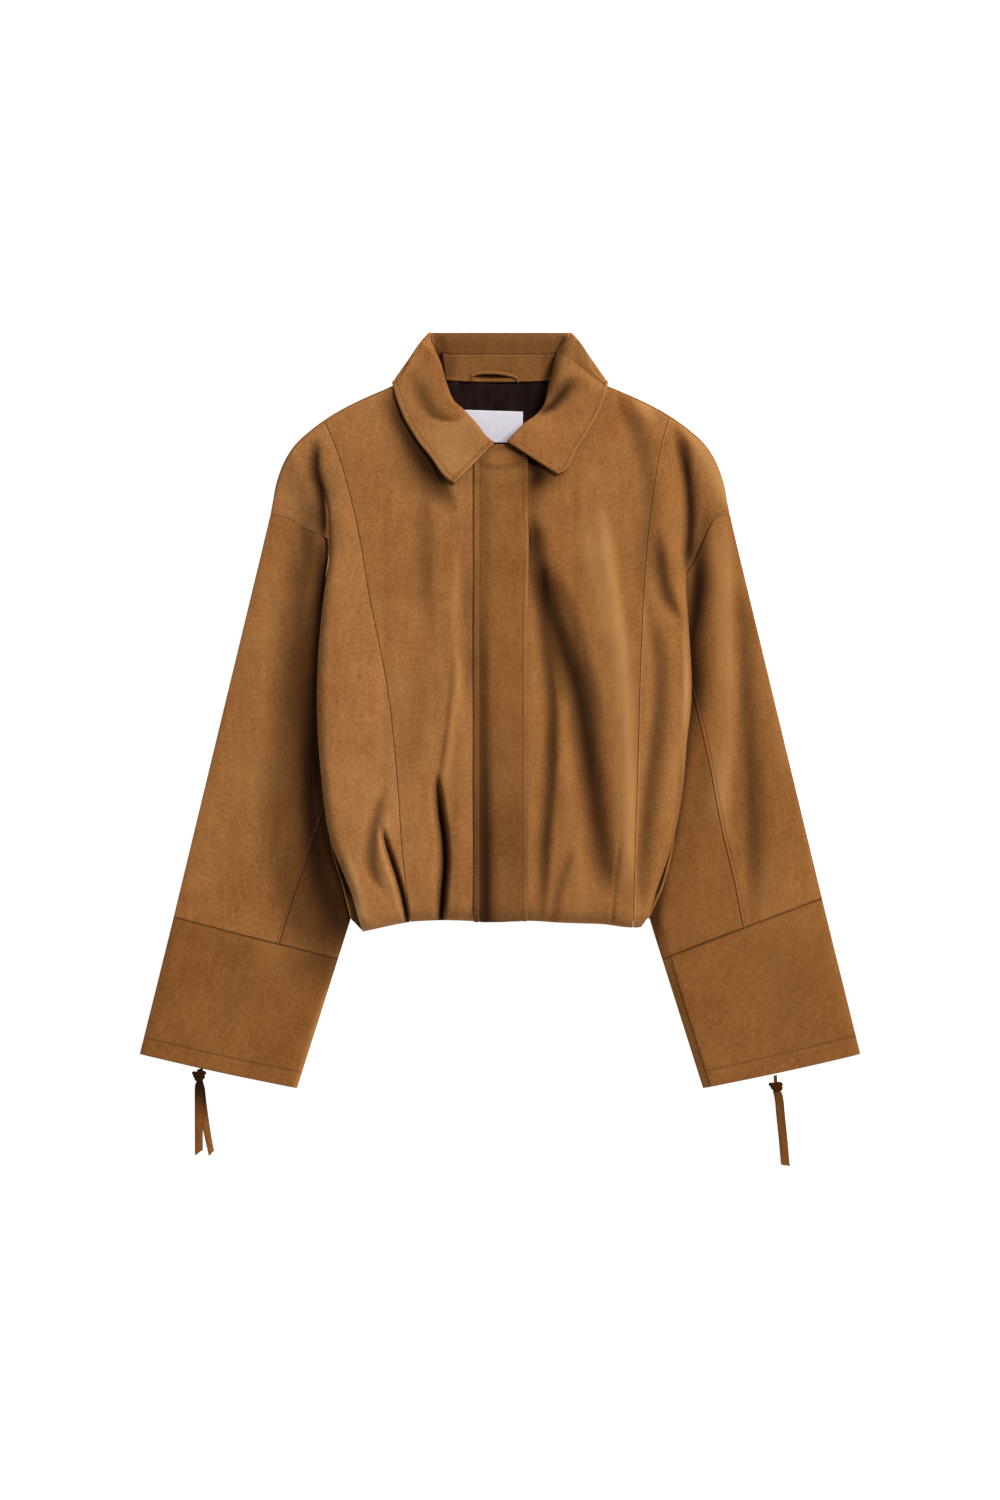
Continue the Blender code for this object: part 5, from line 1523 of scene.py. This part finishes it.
# Painted shade inside the back of the collar, in its folds, at its seam and in its rows of stitches;
# painted highlight on its ridges and just inside its free edges
inside = 0.52 * ease((0.42 - v) / 0.08) * ease((70 - np.abs(x)) / 6)
shade = np.where(z > COLLAR_TOP - 1.5, painted_fold_shading(COLLAR_FOLDS, x, y, inside), inside)
shade = both(shade, painted_seam_shade(points, "bottom", deep=0.06, wide=1.4))
for edge in ("top", "left", "right"):
    from_it = from_edge(points, edge)
    shade = both(shade, 0.28 * bell(from_it, COLLAR_STITCH, 0.9))
    shade = shade - 0.10 * bell(from_it, 2.5, 1.5) * (v > 0.5)
piece = cloth("collar_suede", points, COLLAR_WALL, suede("suede_collar", 1.0, 8.2), painted_shading=shade)
sewn(piece, points, ["collar_fall"], both_fronts)
places, ups = beside_edge(points, "top", COLLAR_STITCH)
for side, word in SIDES:                        # only over the fronts, and not round the points
    run_ = np.flatnonzero((places[:, 2] > COLLAR_TOP + 2) & (side.sign * places[:, 0] > 0))
    run_ = run_[5:] if side is RIGHT else run_[:-5]
    stitches("collar_edge_thread_" + word, places[run_], ups[run_])
for word, edge in (("right", "left"), ("left", "right")):
    places, ups = beside_edge(points, edge, COLLAR_STITCH)
    run_ = slice(int(len(places) * 0.42), -8)
    stitches("collar_end_thread_" + word, places[run_], ups[run_])


# ---------------------------------------------------------------- stand and hanging loop
# The stand is the band inside the back of the neck, sewn to the collar above and to the lining
# below. A loop of narrow suede strip is caught in its lower seam, for hanging the jacket up.
STAND_HALF, STAND_FOOT, STAND_WALL, STAND_LAP = 58.0, 327.0, 1.6, 3.0
STAND_BREADTH, STAND_LOW, STAND_FOOT_HALF = 31.0, 8.1, 0.93     # the last is a share of STAND_HALF
u, v = np.meshgrid(np.linspace(-1, 1, 90), ladder(STAND_BREADTH, SEWN, LAPPED, 1.2)[0])
x = STAND_HALF * u
foot_y = STAND_FOOT + 2.0 * np.abs(u) ** 3
low = np.stack([STAND_FOOT_HALF * x, foot_y, 0 * x + STAND_LOW], axis=-1)
high = np.stack([x, BACK_SEAM_Y + STAND_LAP + 0 * x, 0 * x + COLLAR_TOP + 0.3], axis=-1)
points = low + (high - low) * v[..., None]


def stand_top(from_it):
    """The stand's edge sinks under the collar, with a row of stitches below the seam."""
    return -2.6 * (1 - roll(from_it - STAND_LAP + 1.3, 1.5)) - 0.4 * bell(from_it - STAND_LAP, 3, 0.8)


from_seam = from_edge(points, "top") - STAND_LAP
points = pressed(points, bottom=lambda d: turned(d, 1.0, 2.2), top=stand_top)
# Painted shade: all over, deeper at its ends under the collar's wings, along its seam and its row of
# stitches; painted highlight just below the seam and along its foot
shade = 0.26 + 0.3 * ease((np.abs(points[..., 0]) - 36) / 16) * ease((points[..., 1] - 326) / 10)
shade = both(shade, 0.08 * bell(from_seam, 0, 1.2)) - 0.12 * bell(from_seam, 1.8, 0.9)
shade = both(shade, 0.2 * bell(from_seam, 3, 0.8))
SLOT_MIDDLE, SLOT_HALF = (-6.5, 332.9), (20.5, 2.3)   # painted shadow inside the loop
across, above = ((points[..., k] - SLOT_MIDDLE[k]) / SLOT_HALF[k] for k in (0, 1))
shade = both(shade, 0.92 * ease((1.15 - np.hypot(across, above)) / 0.35))
shade = shade - 0.16 * bell(from_edge(points, "bottom"), 2.4, 1.2)
piece = cloth("stand_suede", points, STAND_WALL, suede("suede_stand", 0.86, 2.7), painted_shading=shade)
sewn(piece, points, ["collar_stand"], ["back_suede"])
stitches("stand_thread", *beside_edge(points, "top", STAND_LAP + 3.0), pitch=2.8, length=1.7)

LOOP_START, LOOP_WIDTH, LOOP_BREADTH = -29.0, 46.5, 3.6
LOOP_FOOT, LOOP_ARCH, LOOP_FALL, LOOP_BOW = 329.4, 7.4, 1.4, 2.0
u, v = np.meshgrid(np.linspace(0, 1, 70), np.linspace(-0.5, 0.5, 9))
arch = LOOP_FOOT + LOOP_ARCH * np.clip(np.sin(np.pi * u ** 0.86), 0, 1) ** 0.34 - LOOP_FALL * u
y = arch + LOOP_BREADTH * v
lean = (y - STAND_FOOT) / 28 * (COLLAR_TOP - STAND_LOW)
z = STAND_LOW + lean + 0.5 + SUEDE + LOOP_BOW * np.sin(np.pi * u) - 1.1 * (2 * v) ** 4
points = np.stack([LOOP_START + LOOP_WIDTH * u, y, z], axis=-1)
# Painted shade, all over and deeper towards its lower edge
shade = 0.12 + 0.3 * (0.5 - v) ** 2
piece = cloth("loop_suede", points, SUEDE, suede("suede_loop", 0.9, 1.1), painted_shading=shade)
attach(piece, "root")
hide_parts("hang_loop")
